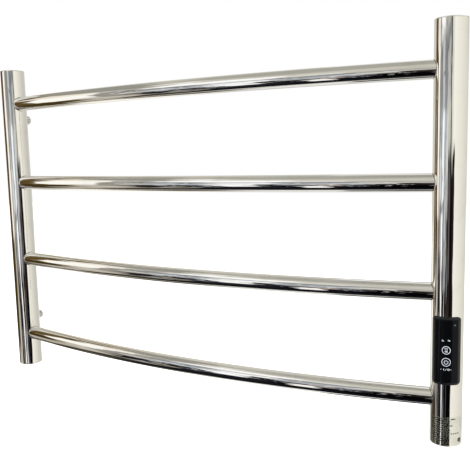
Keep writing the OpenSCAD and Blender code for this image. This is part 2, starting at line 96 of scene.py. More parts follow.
PANEL_Z = middle("control_housing").z
PANEL_H = spread("control_housing").z
PANEL_TURN = math.radians(10)
PANEL_W = 32 * MM
PANEL_PROUD = 2.5 * MM
PANEL_R = POST_R + PANEL_PROUD
PANEL_CORNER = 4 * MM
LENS_CORNER = 1.5 * MM
PANEL_BORDER = 3 * MM
SEAL_T = 0.6 * MM
TRAY_W = 24 * MM
TRAY_H = 70 * MM
WINDOW_GAP = 0.3 * MM

SMOOTH_TURN = 160          # faces round a tube
BOW_STEPS = 150            # faces along a bar
SMALL_TURN = 96            # faces round a boss or a grommet
POST_STEPS = 60            # faces along a post
NEARLY = 1e-6              # closer than this counts as the same place
FULL_TURN = 2 * math.pi

# ---------------------------------------------------------------------------------------------
# Node helpers
# ---------------------------------------------------------------------------------------------


def srgb(text, alpha=1.0):
    """A colour written as #rrggbb, as linear values."""
    parts = [int(text[i:i + 2], 16) / 255 for i in (1, 3, 5)]
    linear = [c / 12.92 if c <= 0.04045 else ((c + 0.055) / 1.055) ** 2.4 for c in parts]
    return (*linear, alpha)


def feed(tree, source, socket):
    """Puts a number, a colour or another node's output into a socket."""
    if isinstance(source, bpy.types.NodeSocket):
        tree.links.new(source, socket)
    else:
        socket.default_value = source


def new_node(tree, kind, **settings):
    node = tree.nodes.new(kind)
    for name, value in settings.items():
        setattr(node, name, value)
    return node


def calc(tree, operation, a, b=0.0, c=0.0):
    node = new_node(tree, "ShaderNodeMath", operation=operation)
    for socket, value in zip(node.inputs, (a, b, c)):
        feed(tree, value, socket)
    return node.outputs[0]


def ease(tree, value, low, high, out_low=0.0, out_high=1.0):
    """A soft step from out_low to out_high as value goes from low to high."""
    node = new_node(tree, "ShaderNodeMapRange", interpolation_type="SMOOTHSTEP")
    for name, item in (("Value", value), ("From Min", low), ("From Max", high),
                       ("To Min", out_low), ("To Max", out_high)):
        feed(tree, item, node.inputs[name])
    return node.outputs["Result"]


def blend_colours(tree, share, a, b, mode="MIX"):
    node = new_node(tree, "ShaderNodeMix", data_type="RGBA", blend_type=mode)
    feed(tree, share, node.inputs["Factor"])
    feed(tree, a, node.inputs["A"])
    feed(tree, b, node.inputs["B"])
    return [out for out in node.outputs if out.name == "Result" and out.type == "RGBA"][0]


def ramp(tree, value, stops):
    """A colour ramp over 0 to 1; stops are (place, #rrggbb)."""
    node = new_node(tree, "ShaderNodeValToRGB")
    feed(tree, value, node.inputs["Fac"])
    elements = node.color_ramp.elements
    elements[0].position, elements[0].color = stops[0][0], srgb(stops[0][1])
    elements[1].position, elements[1].color = stops[-1][0], srgb(stops[-1][1])
    for place, colour in stops[1:-1]:
        elements.new(place).color = srgb(colour)
    return node.outputs["Color"]


def noise(tree, vector, scale, detail=2.0, roughness=0.5, distortion=0.0):
    node = new_node(tree, "ShaderNodeTexNoise")
    feed(tree, vector, node.inputs["Vector"])
    for name, item in (("Scale", scale), ("Detail", detail), ("Roughness", roughness),
                       ("Distortion", distortion)):
        feed(tree, item, node.inputs[name])
    return node.outputs["Fac"]


def stretch(tree, vector, scale):
    node = new_node(tree, "ShaderNodeMapping")
    feed(tree, vector, node.inputs["Vector"])
    feed(tree, scale, node.inputs["Scale"])
    return node.outputs["Vector"]


def new_group(name, inputs, outputs):
    """An empty shader node group; inputs are (name, kind, default) and outputs are (name, kind)."""
    tree = bpy.data.node_groups.new(name, "ShaderNodeTree")
    for label, kind, default in inputs:
        socket = tree.interface.new_socket(label, in_out="INPUT", socket_type=kind)
        socket.default_value = default
    for label, kind in outputs:
        tree.interface.new_socket(label, in_out="OUTPUT", socket_type=kind)
    return tree, tree.nodes.new("NodeGroupInput"), tree.nodes.new("NodeGroupOutput")


def place_group(tree, group, **values):
    node = new_node(tree, "ShaderNodeGroup", node_tree=group)
    for name, value in values.items():
        feed(tree, value, node.inputs[name.replace("_", " ")])
    return node


FLOAT = "NodeSocketFloat"
VECTOR = "NodeSocketVector"

# ---------------------------------------------------------------------------------------------
# Effects that several materials share
# ---------------------------------------------------------------------------------------------


def build_polish():
    """Drawn and polished metal: slow waves left by drawing the tube, and fine polishing lines."""
    tree, into, out = new_group(
        "polish",
        [("Place", VECTOR, (0, 0, 0)), ("Grain", VECTOR, (1, 1, 1)), ("Base", FLOAT, 0.03),
         ("Spread", FLOAT, 0.05), ("Line Share", FLOAT, 0.1)],
        [("Roughness", FLOAT), ("Height", FLOAT), ("Smudge", FLOAT)])
    place = into.outputs["Place"]
    drawn = stretch(tree, place, into.outputs["Grain"])
    waves = noise(tree, drawn, 55.0, 1.5, 0.45)
    lines = noise(tree, drawn, 900.0, 3.0, 0.6)
    smudge = noise(tree, place, 26.0, 4.0, 0.62, 0.4)
    smudge_mask = ease(tree, smudge, 0.48, 0.74)
    rough = calc(tree, "MULTIPLY_ADD", smudge_mask, into.outputs["Spread"], into.outputs["Base"])
    fine = calc(tree, "MULTIPLY", lines, into.outputs["Line Share"])
    tree.links.new(rough, out.inputs["Roughness"])
    tree.links.new(calc(tree, "ADD", waves, fine), out.inputs["Height"])
    tree.links.new(smudge_mask, out.inputs["Smudge"])
    return tree


def build_mould():
    """Moulded plastic or rubber: fine spark texture with slow shade changes."""
    tree, into, out = new_group(
        "mould",
        [("Place", VECTOR, (0, 0, 0)), ("Fineness", FLOAT, 1500.0), ("Base", FLOAT, 0.4),
         ("Spread", FLOAT, 0.12)],
        [("Roughness", FLOAT), ("Height", FLOAT), ("Shade", FLOAT)])
    place = into.outputs["Place"]
    spark = noise(tree, place, into.outputs["Fineness"], 2.0, 0.7)
    slow = noise(tree, place, 90.0, 3.0, 0.6)
    rough = calc(tree, "MULTIPLY_ADD", slow, into.outputs["Spread"], into.outputs["Base"])
    tree.links.new(rough, out.inputs["Roughness"])
    tree.links.new(spark, out.inputs["Height"])
    tree.links.new(ease(tree, slow, 0.3, 0.7), out.inputs["Shade"])
    return tree


def build_edge_wear():
    """Marks the raised edges, broken up by noise."""
    tree, into, out = new_group(
        "edge_wear",
        [("Place", VECTOR, (0, 0, 0)), ("Start", FLOAT, 0.52), ("End", FLOAT, 0.62)],
        [("Mask", FLOAT)])
    sharp = new_node(tree, "ShaderNodeNewGeometry").outputs["Pointiness"]
    edge = ease(tree, sharp, into.outputs["Start"], into.outputs["End"])
    patchy = ease(tree, noise(tree, into.outputs["Place"], 600.0, 3.0, 0.6), 0.35, 0.65)
    tree.links.new(calc(tree, "MULTIPLY", edge, patchy), out.inputs["Mask"])
    return tree


POLISH = build_polish()
MOULD = build_mould()
EDGE_WEAR = build_edge_wear()

# ---------------------------------------------------------------------------------------------
# Materials
# ---------------------------------------------------------------------------------------------


def new_material(name):
    material = bpy.data.materials.new(name)
    material.use_nodes = True
    tree = material.node_tree
    shader = tree.nodes["Principled BSDF"]
    place = new_node(tree, "ShaderNodeTexCoord").outputs["Object"]
    return material, tree, shader, place


def bump(tree, shader, height, distance, strength=1.0):
    node = new_node(tree, "ShaderNodeBump")
    feed(tree, height, node.inputs["Height"])
    node.inputs["Distance"].default_value = distance
    node.inputs["Strength"].default_value = strength
    tree.links.new(node.outputs["Normal"], shader.inputs["Normal"])


def polished(name, light, dark, depth, **values):
    """A material in two close shades, with the marks of the shared polish."""
    material, tree, shader, place = new_material(name)
    group = place_group(tree, POLISH, Place=place, **values)
    tone = blend_colours(tree, group.outputs["Smudge"], srgb(light), srgb(dark))
    feed(tree, tone, shader.inputs["Base Color"])
    feed(tree, group.outputs["Roughness"], shader.inputs["Roughness"])
    bump(tree, shader, group.outputs["Height"], depth)
    return material, tree, shader, place, tone


def moulded(name, colour, shade, depth, **values):
    """A material in two close shades, with the grain of the shared mould."""
    material, tree, shader, place = new_material(name)
    group = place_group(tree, MOULD, Place=place, **values)
    tone = blend_colours(tree, group.outputs["Shade"], srgb(colour), srgb(shade))
    feed(tree, tone, shader.inputs["Base Color"])
    feed(tree, group.outputs["Roughness"], shader.inputs["Roughness"])
    bump(tree, shader, group.outputs["Height"], depth)
    return material, tree, shader, place, tone, group.outputs["Shade"]


def metal(name, light, dark, grain, base, smear, wave, line_share):
    """A polished, turned or tinned metal; grain says how the marks are stretched."""
    material, tree, shader, place, smudged = polished(
        name, light, dark, wave, Grain=grain, Base=base, Spread=smear, Line_Share=line_share)
    wear = place_group(tree, EDGE_WEAR, Place=place).outputs["Mask"]
    feed(tree, blend_colours(tree, wear, smudged, srgb(light)), shader.inputs["Base Color"])
    shader.inputs["Metallic"].default_value = 1.0
    return material


def plastic(name, colour, shade, fineness, base, smear, depth, specular=0.5):
    """A moulded plastic or rubber, paler along its raised edges."""
    material, tree, shader, place, toned, _ = moulded(
        name, colour, shade, depth, Fineness=fineness, Base=base, Spread=smear)
    wear = place_group(tree, EDGE_WEAR, Place=place, Start=0.54, End=0.7).outputs["Mask"]
    worn = blend_colours(tree, calc(tree, "MULTIPLY", wear, 0.25), toned, srgb("#8a8c8c"))
    feed(tree, worn, shader.inputs["Base Color"])
    shader.inputs["Specular IOR Level"].default_value = specular
    return material


def lens_material():
    """Gloss black lens with fine wiping marks on it."""
    material, _, shader, _, _ = polished(
        "gloss_lens", "#050608", "#090b0e", 0.006 * MM,
        Grain=(1.0, 1.0, 0.4), Base=0.12, Spread=0.08, Line_Share=0.05)
    shader.inputs["Specular IOR Level"].default_value = 0.12
    return material


def print_material(name, colour, shade, glow):
    """Screen-printed ink: slightly uneven, with a dry surface. glow gives it light of its own: painted
    light on the white ink, the lamp's own light on the pilot window.
    """
    material, tree, shader, _, ink, _ = moulded(
        name, colour, shade, 0.004 * MM, Fineness=4000.0, Base=0.45, Spread=0.2)
    feed(tree, ink, shader.inputs["Emission Color"])
    shader.inputs["Emission Strength"].default_value = glow
    shader.inputs["Specular IOR Level"].default_value = 0.15
    return material


def film_material():
    """Clear label film with a faint cream tint, a matt face and a soft crinkle."""
    material, tree, shader, _, _, cloud = moulded(
        "label_film", "#8f947d", "#83886f", 0.01 * MM, Fineness=2500.0, Base=0.22, Spread=0.15)
    feed(tree, ease(tree, cloud, 0.0, 1.0, 0.03, 0.06), shader.inputs["Alpha"])
    return material


def clear_material():
    """Clear moulded light guide with a frosted face."""
    material, _, shader, _, _, _ = moulded(
        "clear_guide", "#c9ced2", "#aeb4b8", 0.01 * MM, Fineness=3000.0, Base=0.18, Spread=0.2)
    shader.inputs["Transmission Weight"].default_value = 0.35
    return material


def board_material():
    """Circuit board: solder mask over faint straight copper tracks."""
    material, tree, shader, place = new_material("circuit_board")
    wave = new_node(tree, "ShaderNodeTexWave", wave_type="BANDS", bands_direction="Z")
    feed(tree, place, wave.inputs["Vector"])
    wave.inputs["Scale"].default_value = 180.0
    wave.inputs["Distortion"].default_value = 6.0
    tracks = ease(tree, wave.outputs["Fac"], 0.55, 0.7)
    group = place_group(tree, MOULD, Place=place, Fineness=2000.0, Base=0.25, Spread=0.15)
    tone = blend_colours(tree, tracks, srgb("#164a2b"), srgb("#2b7444"))
    feed(tree, tone, shader.inputs["Base Color"])
    feed(tree, group.outputs["Roughness"], shader.inputs["Roughness"])
    bump(tree, shader, tracks, 0.03 * MM)
    return material


ALONG_BAR = (0.05, 1.0, 1.0)
ALONG_POST = (1.0, 1.0, 0.05)
ROUND_TURNED = (1.0, 6.0, 1.0)
EVEN = (1.0, 1.0, 1.0)

BAR_STEEL = metal("bar_steel", "#f6f5f2", "#efede8", ALONG_BAR, 0.018, 0.03, 0.05 * MM, 0.01)
POST_STEEL = metal("post_steel", "#f6f5f2", "#efede8", ALONG_POST, 0.018, 0.03, 0.06 * MM, 0.01)
CAP_STEEL = metal("cap_steel", "#f4f3ef", "#eceae4", EVEN, 0.03, 0.05, 0.01 * MM, 0.05)
WELD_STEEL = metal("weld_steel", "#a89f92", "#746b5f", EVEN, 0.1, 0.12, 0.03 * MM, 0.2)
TURNED_STEEL = metal("turned_steel", "#d6d5d1", "#bdbbb5", ROUND_TURNED, 0.2, 0.15, 0.02 * MM, 0.6)
TINNED_STEEL = metal("tinned_steel", "#c9cacb", "#aeb0b3", EVEN, 0.28, 0.2, 0.02 * MM, 0.5)
BRASS = metal("brass", "#d9b36a", "#b08b45", EVEN, 0.25, 0.2, 0.02 * MM, 0.5)

FRAME_BLACK = plastic("frame_black", "#0d0f11", "#131618", 1800.0, 0.24, 0.12, 0.004 * MM, 0.3)
RUBBER = plastic("rubber", "#161616", "#202020", 1200.0, 0.62, 0.2, 0.03 * MM)
PART_BLACK = plastic("component_black", "#18191b", "#24262a", 1500.0, 0.4, 0.2, 0.02 * MM)
TERMINAL_GREEN = plastic("terminal_green", "#2f7d45", "#2a6d3d", 1500.0, 0.4, 0.2, 0.02 * MM)
SILICONE = plastic("silicone_cable", "#8a3024", "#7a281e", 900.0, 0.5, 0.2, 0.03 * MM)
EARTH_SLEEVE = plastic("earth_cable", "#8fae3c", "#7d9a33", 900.0, 0.45, 0.2, 0.03 * MM)
LENS_BLACK = lens_material()
CLEAR = clear_material()
BOARD_GREEN = board_material()
LABEL_FILM = film_material()
# The white ink glows a little: painted light that makes it brighter than the studio lights alone would.
GLOWING_WHITE_PRINT = print_material("glowing_white_print", "#c9ccd4", "#b0b4be", 0.08)
LABEL_PRINT = print_material("label_print", "#1c1d1f", "#2a2b2d", 0.0)
PILOT_WHITE = print_material("pilot_lamp", "#5c6263", "#4a4f50", 0.02)

NODE_MATERIALS = {
    "control_board": BOARD_GREEN,
    "touch_springs": TINNED_STEEL,
    "relay": PART_BLACK,
    "power_module": PART_BLACK,
    "terminal_block": TERMINAL_GREEN,
    "board_screws": TINNED_STEEL,
    "heating_cable": SILICONE,
    "crimp_sleeves": TINNED_STEEL,
    "heater_leads": SILICONE,
    "earth_lead": EARTH_SLEEVE,
    "temperature_limiter": PART_BLACK,
    "earth_stud": BRASS,
    "earth_tag": TINNED_STEEL,
    "earth_nut": BRASS,
    "indicator_guides": CLEAR,
}

# ---------------------------------------------------------------------------------------------
# Mesh helpers
# ---------------------------------------------------------------------------------------------


def turn_faces_out(mesh):
    """Makes every face of a closed mesh look outwards."""
    work = bmesh.new()
    work.from_mesh(mesh)
    bmesh.ops.recalc_face_normals(work, faces=work.faces)
    work.to_mesh(mesh)
    work.free()


def make_piece(name, verts, faces, material, replaces=(), sharp=None):
    """A finished piece of the object from its points and faces."""
    mesh = bpy.data.meshes.new(name)
    mesh.from_pydata([tuple(v) for v in verts], [], faces)
    turn_faces_out(mesh)
    piece = bpy.data.objects.new(name, mesh)
    bpy.context.scene.collection.objects.link(piece)
    mesh.materials.append(material)
    for polygon in mesh.polygons:
        polygon.use_smooth = True
    if sharp is not None:
        mesh.set_sharp_from_angle(angle=math.radians(sharp))
    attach(piece, BODY)
    if replaces:
        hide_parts(*replaces)
    return piece


def grid_faces(rows, columns, close_rows=False, close_columns=False, start=0, skip=None):
    """Quads over points laid out row by row."""
    faces = []
    for r in range(rows if close_rows else rows - 1):
        for c in range(columns if close_columns else columns - 1):
            if skip and skip(r, c):
                continue
            r2, c2 = (r + 1) % rows, (c + 1) % columns
            faces.append([start + r * columns + c, start + r * columns + c2,
                          start + r2 * columns + c2, start + r2 * columns + c])
    return faces


def tube_wall_faces(rows, columns, skip=None):
    """Faces of a tube wall: its outer points come first, then as many inner ones."""
    size = rows * columns
    faces = grid_faces(rows, columns, close_columns=True, skip=skip)
    faces += grid_faces(rows, columns, close_columns=True, start=size, skip=skip)
    for row in (0, rows - 1):
        for c in range(columns):
            here, after = row * columns + c, row * columns + (c + 1) % columns
            faces.append([here, size + here, size + after, after])
    return faces


def turned(profile, place, count=SMOOTH_TURN):
    """Points and faces of a closed turned solid. profile is a loop of (radius, height) points,
    and place turns (x, y, height) into a point of the frame."""
    verts = []
    for k in range(count):
        a = FULL_TURN * k / count
        for r, h in profile:
            verts.append(place(r * math.cos(a), r * math.sin(a), h))
    return verts, grid_faces(count, len(profile), close_rows=True, close_columns=True)


def rounded_corner(r, h, radius, start, steps=6):
    """An arc of a quarter turn about (r, h), from an angle in degrees, as profile points."""
    return [(r + radius * math.cos(math.radians(start + 90 * k / steps)),
             h + radius * math.sin(math.radians(start + 90 * k / steps))) for k in range(steps + 1)]


def in_panel(x, y, z):
    """A place given from the right post's axis at the panel's middle, with -y out of the panel."""
    return (POST_X + x * math.cos(PANEL_TURN) - y * math.sin(PANEL_TURN),
            POST_Y + x * math.sin(PANEL_TURN) + y * math.cos(PANEL_TURN),
            PANEL_Z + z)


def on_panel(x, z, radius):
    """A place on the curved face of the panel, at a distance across and up from its middle."""
    return in_panel(x, -math.sqrt(radius * radius - x * x), z)

# ---------------------------------------------------------------------------------------------
# Posts, bars, welds, caps and bosses
# ---------------------------------------------------------------------------------------------


def post_piece(name, axis, window=None):
    """A post as one tube wall. window is (first angle, last angle, low z, high z) of its opening."""
    angles = [FULL_TURN * k / SMOOTH_TURN for k in range(SMOOTH_TURN)]
    heights = [TUBE_LOW + (TUBE_HIGH - TUBE_LOW) * k / POST_STEPS for k in range(POST_STEPS + 1)]
    skip = None
    if window:
        first, last, low, high = window
        turn_gap, height_gap = 0.012, 2 * MM
        keep = [a for a in angles if min(abs(a - first), abs(a - last)) > turn_gap]
        angles = sorted(keep + [first, last])
        keep = [h for h in heights if min(abs(h - low), abs(h - high)) > height_gap]
        heights = sorted(keep + [low, high])

        def skip(r, c):
            inside = first - NEARLY <= angles[c] < last - NEARLY
            return inside and low - NEARLY <= heights[r] < high - NEARLY

    rows, columns = len(heights), len(angles)
    verts = []
    for radius in (POST_R, POST_BORE_R):
        for h in heights:
            for a in angles:
                verts.append((axis.x + radius * math.cos(a), axis.y + radius * math.sin(a), h))
    faces = tube_wall_faces(rows, columns, skip)
    if window:
        faces += window_rim(angles, heights, window)
    return make_piece(name, verts, faces, POST_STEEL, [name], sharp=40)


def window_rim(angles, heights, window):
    """The wall's cut edge round the opening."""
    first, last, low, high = window
    cols = [c for c, a in enumerate(angles) if first - NEARLY <= a <= last + NEARLY]
    rows = [r for r, h in enumerate(heights) if low - NEARLY <= h <= high + NEARLY]
    loop = [(rows[0], c) for c in cols]
    loop += [(r, cols[-1]) for r in rows[1:]]
    loop += [(rows[-1], c) for c in reversed(cols[:-1])]
    loop += [(r, cols[0]) for r in reversed(rows[1:-1])]
    return edge_faces([r * len(angles) + c for r, c in loop], len(angles) * len(heights))


def edge_faces(loop, size):
    """Faces between a closed loop of points and the same points size places on."""
    return [[here, after, size + after, size + here]
            for here, after in zip(loop, loop[1:] + loop[:1])]


def control_window():
    """The opening behind the panel, as angles round the post and heights."""
    half = math.asin((TRAY_W / 2 + WINDOW_GAP) / POST_R)
    out = FULL_TURN - math.pi / 2 + PANEL_TURN
    return (out - half, out + half,
            PANEL_Z - TRAY_H / 2 - WINDOW_GAP, PANEL_Z + TRAY_H / 2 + WINDOW_GAP)


def bar_point(angle, turn, radius, z):
    """A point on a bar: angle runs along the bow, turn round the bar."""
    reach = ARC_R + radius * math.cos(turn)
    return Vector((reach * math.sin(angle), ARC_Y - reach * math.cos(angle),
                   z + radius * math.sin(turn)))


def bar_end(turn, radius):
    """The angle along the bow where a line of the bar's surface meets the post."""
    low, high = ARC_HALF * 0.8, ARC_HALF
    halvings = 40
    for _ in range(halvings):
        angle = (low + high) / 2
        p = bar_point(angle, turn, radius, 0)
        if math.hypot(p.x - POST_X, p.y - POST_Y) > POST_R:
            low = angle
        else:
            high = angle
    return (low + high) / 2


def bar_piece(node, z):
    """A bar as one tube wall, coped to both posts."""
    columns = SMOOTH_TURN // 2
    verts = []
    for radius in (BAR_R, BAR_R - BAR_WALL):
        ends = [bar_end(FULL_TURN * c / columns, radius) for c in range(columns)]
        for k in range(BOW_STEPS + 1):
            for c in range(columns):
                angle = ends[c] * (2 * k / BOW_STEPS - 1)
                verts.append(bar_point(angle, FULL_TURN * c / columns, radius, z))
    faces = tube_wall_faces(BOW_STEPS + 1, columns)
    return make_piece(node, verts, faces, BAR_STEEL, [node], sharp=40)


def weld_piece(name, z, side, leg=0.85 * MM, steps=6, ripple=0.06 * MM):
    """A polished fillet of weld round the joint of a bar and a post."""
    columns = SMOOTH_TURN
    sunk = 0.05 * MM
    root = 0.6 * MM
    verts = []
    axis = Vector((side * POST_X, POST_Y, 0))
    heading = Vector((-side * math.cos(ARC_HALF), -math.sin(ARC_HALF), 0))
    for c in range(columns):
        turn = FULL_TURN * c / columns
        end = bar_end(turn, BAR_R)
        width = leg + ripple * math.sin(23 * turn) + ripple * math.sin(9 * turn + 1.3)
        corner = bar_point(side * end, turn, BAR_R, z)
        on_bar = bar_point(side * (end - width / ARC_R), turn, BAR_R - sunk, z)
        outward = corner - bar_point(side * end, turn, 0, z)
        outward = (outward - heading * outward.dot(heading)).normalized()
        raw = corner + outward * width
        flat = Vector((raw.x - axis.x, raw.y - axis.y, 0)).normalized() * (POST_R - sunk)
        on_post = Vector((axis.x + flat.x, axis.y + flat.y, raw.z))
        inside = corner - outward * root - heading * root
        for k in range(steps + 1):
            t = k / steps
            verts.append(on_bar * (1 - t) ** 2 + corner * 2 * t * (1 - t) + on_post * t * t)
        verts.append(inside)
    faces = grid_faces(columns, steps + 2, close_rows=True, close_columns=True)
    return make_piece(name, verts, faces, WELD_STEEL)


def cap_piece(node, axis, way, hole=0.0):
    """An end cap: rounded lip, fine groove where it meets the tube, and a skirt inside the post."""
    outer = POST_R
    face = TUBE_HIGH + CAP_LIP if way > 0 else TUBE_LOW - CAP_LIP
    edge = 0.9 * MM
    groove_depth = 0.35 * MM
    groove_top = 0.7 * MM - CAP_LIP
    skirt = POST_BORE_R - 0.1 * MM
    skirt_in = skirt - 1.6 * MM
    depth = CAP_LIP + 7 * MM
    crown = 0.15 * MM
    centre_r = 0.02 * MM
    profile = [(hole, -crown), (hole + 0.4 * (outer - hole), -0.3 * crown), (outer - 3 * edge, 0)]
    profile += [(r, h) for r, h in reversed(rounded_corner(outer - edge, -edge, edge, 0))]
    profile += [(outer, groove_top), (outer - groove_depth, groove_top - groove_depth / 2),
                (outer - groove_depth, -CAP_LIP), (skirt, -CAP_LIP), (skirt, -depth),
                (skirt_in, -depth), (skirt_in, -CAP_LIP), (hole, -CAP_LIP)]
    if hole == 0.0:
        profile = [(max(r, centre_r), h) for r, h in profile]

    def place(x, y, h):
        return axis.x + x, axis.y + y, face + way * h

    verts, faces = turned(profile, place)
    return make_piece(node, verts, faces, CAP_STEEL, [node], sharp=50)


def boss_piece(node):
    """A turned wall boss with chamfered mouth, relief groove and thread, welded to the post."""
    low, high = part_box(node)
    centre = (low + high) / 2
    radius = (high.x - low.x) / 2
    bore = 3.4 * MM
    thread_depth = 7.5 * MM
    pitch = 1.25 * MM
    crest = 0.5 * MM
    into_post = abs(POST_Y + POST_R) + 1.3 * MM
    chamfer = 0.6 * MM
    relief, relief_depth = 3.2 * MM, 0.4 * MM
    centre_r = 0.05 * MM
    profile = [(bore + chamfer, 0), (radius - chamfer, 0), (radius, chamfer),
               (radius, relief), (radius - relief_depth, relief + 0.3 * MM),
               (radius - relief_depth, relief + 0.8 * MM), (radius, relief + 1.1 * MM),
               (radius, into_post), (centre_r, into_post), (centre_r, thread_depth)]
    for k in range(int(thread_depth / pitch), 0, -1):
        profile += [(bore + crest, k * pitch), (bore, k * pitch - pitch / 2)]

    def place(x, y, h):
        return centre.x + x, -h, centre.z + y

    verts, faces = turned(profile, place, SMALL_TURN)
    return make_piece(node, verts, faces, TURNED_STEEL, [node], sharp=30)


def grommet_piece():
    """The rubber bush that the mains lead passes through, with two moulded rings."""
    low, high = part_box("cable_grommet")
    flange_r = (high.x - low.x) / 2
    neck = TUBE_LOW - CAP_LIP - low.z
    bore = 3.6 * MM
    neck_r = 4.9 * MM
    profile = [(bore, 0.4 * MM), (bore + 0.4 * MM, 0)]
    profile += [(bore + 1.2 * MM, 0), (bore + 1.5 * MM, 0.25 * MM), (bore + 1.8 * MM, 0)]
    profile += rounded_corner(flange_r - 0.7 * MM, 0.7 * MM, 0.7 * MM, -90)
    profile += [(flange_r, neck), (neck_r, neck), (neck_r, neck + CAP_LIP),
                (neck_r + 1.0 * MM, neck + CAP_LIP), (neck_r, high.z - low.z), (bore, high.z - low.z)]

    def place(x, y, h):
        return RIGHT_AXIS.x + x, RIGHT_AXIS.y + y, low.z + h

    verts, faces = turned(profile, place, SMALL_TURN)
    return make_piece("cable_grommet_moulded", verts, faces, RUBBER,
                      ["cable_grommet"], sharp=40)


def clip_piece():
    """The spring strip that presses the limiter to the post: an arc, a web and a plate."""
    low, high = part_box("limiter_clip")
    plate_x = low.x - RIGHT_AXIS.x
    reach = high.x - RIGHT_AXIS.x
    strip = 0.5 * MM
    half_plate = 4.5 * MM
    half_arc = 32
    root = math.degrees(math.asin(strip / 2 / (reach - strip)))
    shape = arc_points(0, 0, reach, -half_arc, half_arc, 32)
    shape += arc_points(0, 0, reach - strip, half_arc, root, 16)
    shape += [(plate_x + strip, strip / 2), (plate_x + strip, half_plate), (plate_x, half_plate),
              (plate_x, -half_plate), (plate_x + strip, -half_plate), (plate_x + strip, -strip / 2)]
    shape += arc_points(0, 0, reach - strip, -root, -half_arc, 16)
    count = len(shape)
    verts = [(RIGHT_AXIS.x + x, RIGHT_AXIS.y + y, z) for z in (low.z, high.z) for x, y in shape]
    faces = grid_faces(2, count, close_columns=True)
    faces += [list(range(count)), list(range(count, 2 * count))]
    return make_piece("limiter_spring", verts, faces, TINNED_STEEL,
                      ["limiter_clip"], sharp=30)

# ---------------------------------------------------------------------------------------------
# Control panel
# ---------------------------------------------------------------------------------------------


def outline(w, h, corner, per_corner=14, per_side=10):
    """Points round a rounded rectangle, from its right side upwards."""
    arcs = []
    for sx, sz, start in ((1, 1, 0), (-1, 1, 90), (-1, -1, 180), (1, -1, 270)):
        cx, cz = sx * (w / 2 - corner), sz * (h / 2 - corner)
        arcs.append(arc_points(cx, cz, corner, start, start + 90, per_corner))
    points = []
    for k, arc in enumerate(arcs):
        x, z = arc[-1]
        x2, z2 = arcs[(k + 1) % len(arcs)][0]
        points += arc
        points += [(x + (x2 - x) * j / per_side, z + (z2 - z) * j / per_side)
                   for j in range(1, per_side)]
    return points


def loops_to_mesh(loops):
    """Points and faces of a closed skin over a row of loops: each end is closed across."""
    count = len(loops[0])
    verts = [p for loop in loops for p in loop]
    faces = grid_faces(len(loops), count, close_columns=True)
    return verts, faces + fan_strip(0, count) + fan_strip(len(verts) - count, count)


def ring_of_loops(loops):
    """The same, where the last loop joins the first again."""
    verts = [p for loop in loops for p in loop]
    return verts, grid_faces(len(loops), len(loops[0]), close_rows=True, close_columns=True)


def panel_loop(inset, radius, corner=None):
    """A loop on a cylinder of that radius, inset from the panel's outline."""
    r = max((PANEL_CORNER if corner is None else corner) - inset, 0.8 * MM)
    return [on_panel(x, z, radius) for x, z in outline(PANEL_W - 2 * inset, PANEL_H - 2 * inset, r)]


def frame_piece():
    """The panel's frame: side wall, soft bevel, and the step that the lens drops into."""
    top = PANEL_R
    seat = PANEL_R - 1.1 * MM
    steps = [(0.0, POST_R + SEAL_T), (0.0, top - 1.55 * MM), (0.12 * MM, top - 1.2 * MM),
             (0.4 * MM, top - 0.95 * MM), (PANEL_BORDER - 0.9 * MM, top - 0.16 * MM),
             (PANEL_BORDER - 0.4 * MM, top - 0.03 * MM), (PANEL_BORDER - 0.12 * MM, top - 0.02 * MM),
             (PANEL_BORDER, top - 0.12 * MM), (PANEL_BORDER, seat), (PANEL_BORDER + 1.4 * MM, seat),
             (PANEL_BORDER + 1.4 * MM, POST_R + SEAL_T)]
    verts, faces = ring_of_loops([panel_loop(inset, radius) for inset, radius in steps])
    return make_piece("control_frame", verts, faces, FRAME_BLACK,
                      ["control_housing"], sharp=50)


def tray_piece():
    """The tray behind the frame: an open box with rounded corners, a floor and a rim."""
    back = 5.0 * MM
    wall = 1.2 * MM
    front = -(POST_R - 0.4 * MM)
    corner = 1.5 * MM

    def ring(inset, y):
        shape = outline(TRAY_W - 2 * inset, TRAY_H - 2 * inset, max(corner - inset, 0.3 * MM))
        return [in_panel(x, y if y > -10 * MM else -math.sqrt(y * y - x * x), z) for x, z in shape]

    spine = TRAY_W / 2 - 0.5 * MM
    floor = back - wall
    loops = [ring(spine, back), ring(4 * MM, back), ring(0.5 * MM, back), ring(0, back - 0.5 * MM),
             ring(0, front), ring(wall, front), ring(wall, floor), ring(4 * MM, floor),
             ring(spine, floor)]
    verts, faces = loops_to_mesh(loops)
    return make_piece("control_tray", verts, faces, PART_BLACK, sharp=50)


def lens_piece():
    """The curved lens, with a fine rounded rim that leaves a hairline gap to the frame."""
    gap = 0.12 * MM
    w = PANEL_W - 2 * (PANEL_BORDER + gap)
    h = PANEL_H - 2 * (PANEL_BORDER + gap)
    corner = LENS_CORNER
    back = PANEL_R - 1.05 * MM
    spine = (h - w) / 2

    def ring(share, inset, radius):
        shape = outline(w - 2 * inset, h - 2 * inset, corner)
        points = []
        for x, z in shape:
            z_spine = max(-spine, min(spine, z))
            points.append(on_panel(x * share, z_spine + (z - z_spine) * share, radius))
        return points

    shares = [1.0, 0.86, 0.7, 0.54, 0.38, 0.22, 0.08]
    loops = [ring(s, 0.15 * MM, back) for s in reversed(shares)]
    loops += [ring(1, 0, back + 0.15 * MM), ring(1, 0, PANEL_R - 0.22 * MM),
              ring(1, 0.06 * MM, PANEL_R - 0.08 * MM), ring(1, 0.22 * MM, PANEL_R)]
    loops += [ring(s, 0.22 * MM, PANEL_R) for s in shares[1:]]
    verts, faces = loops_to_mesh(loops)
    return make_piece("touch_lens_curved", verts, faces, LENS_BLACK,
                      ["touch_lens"], sharp=60)


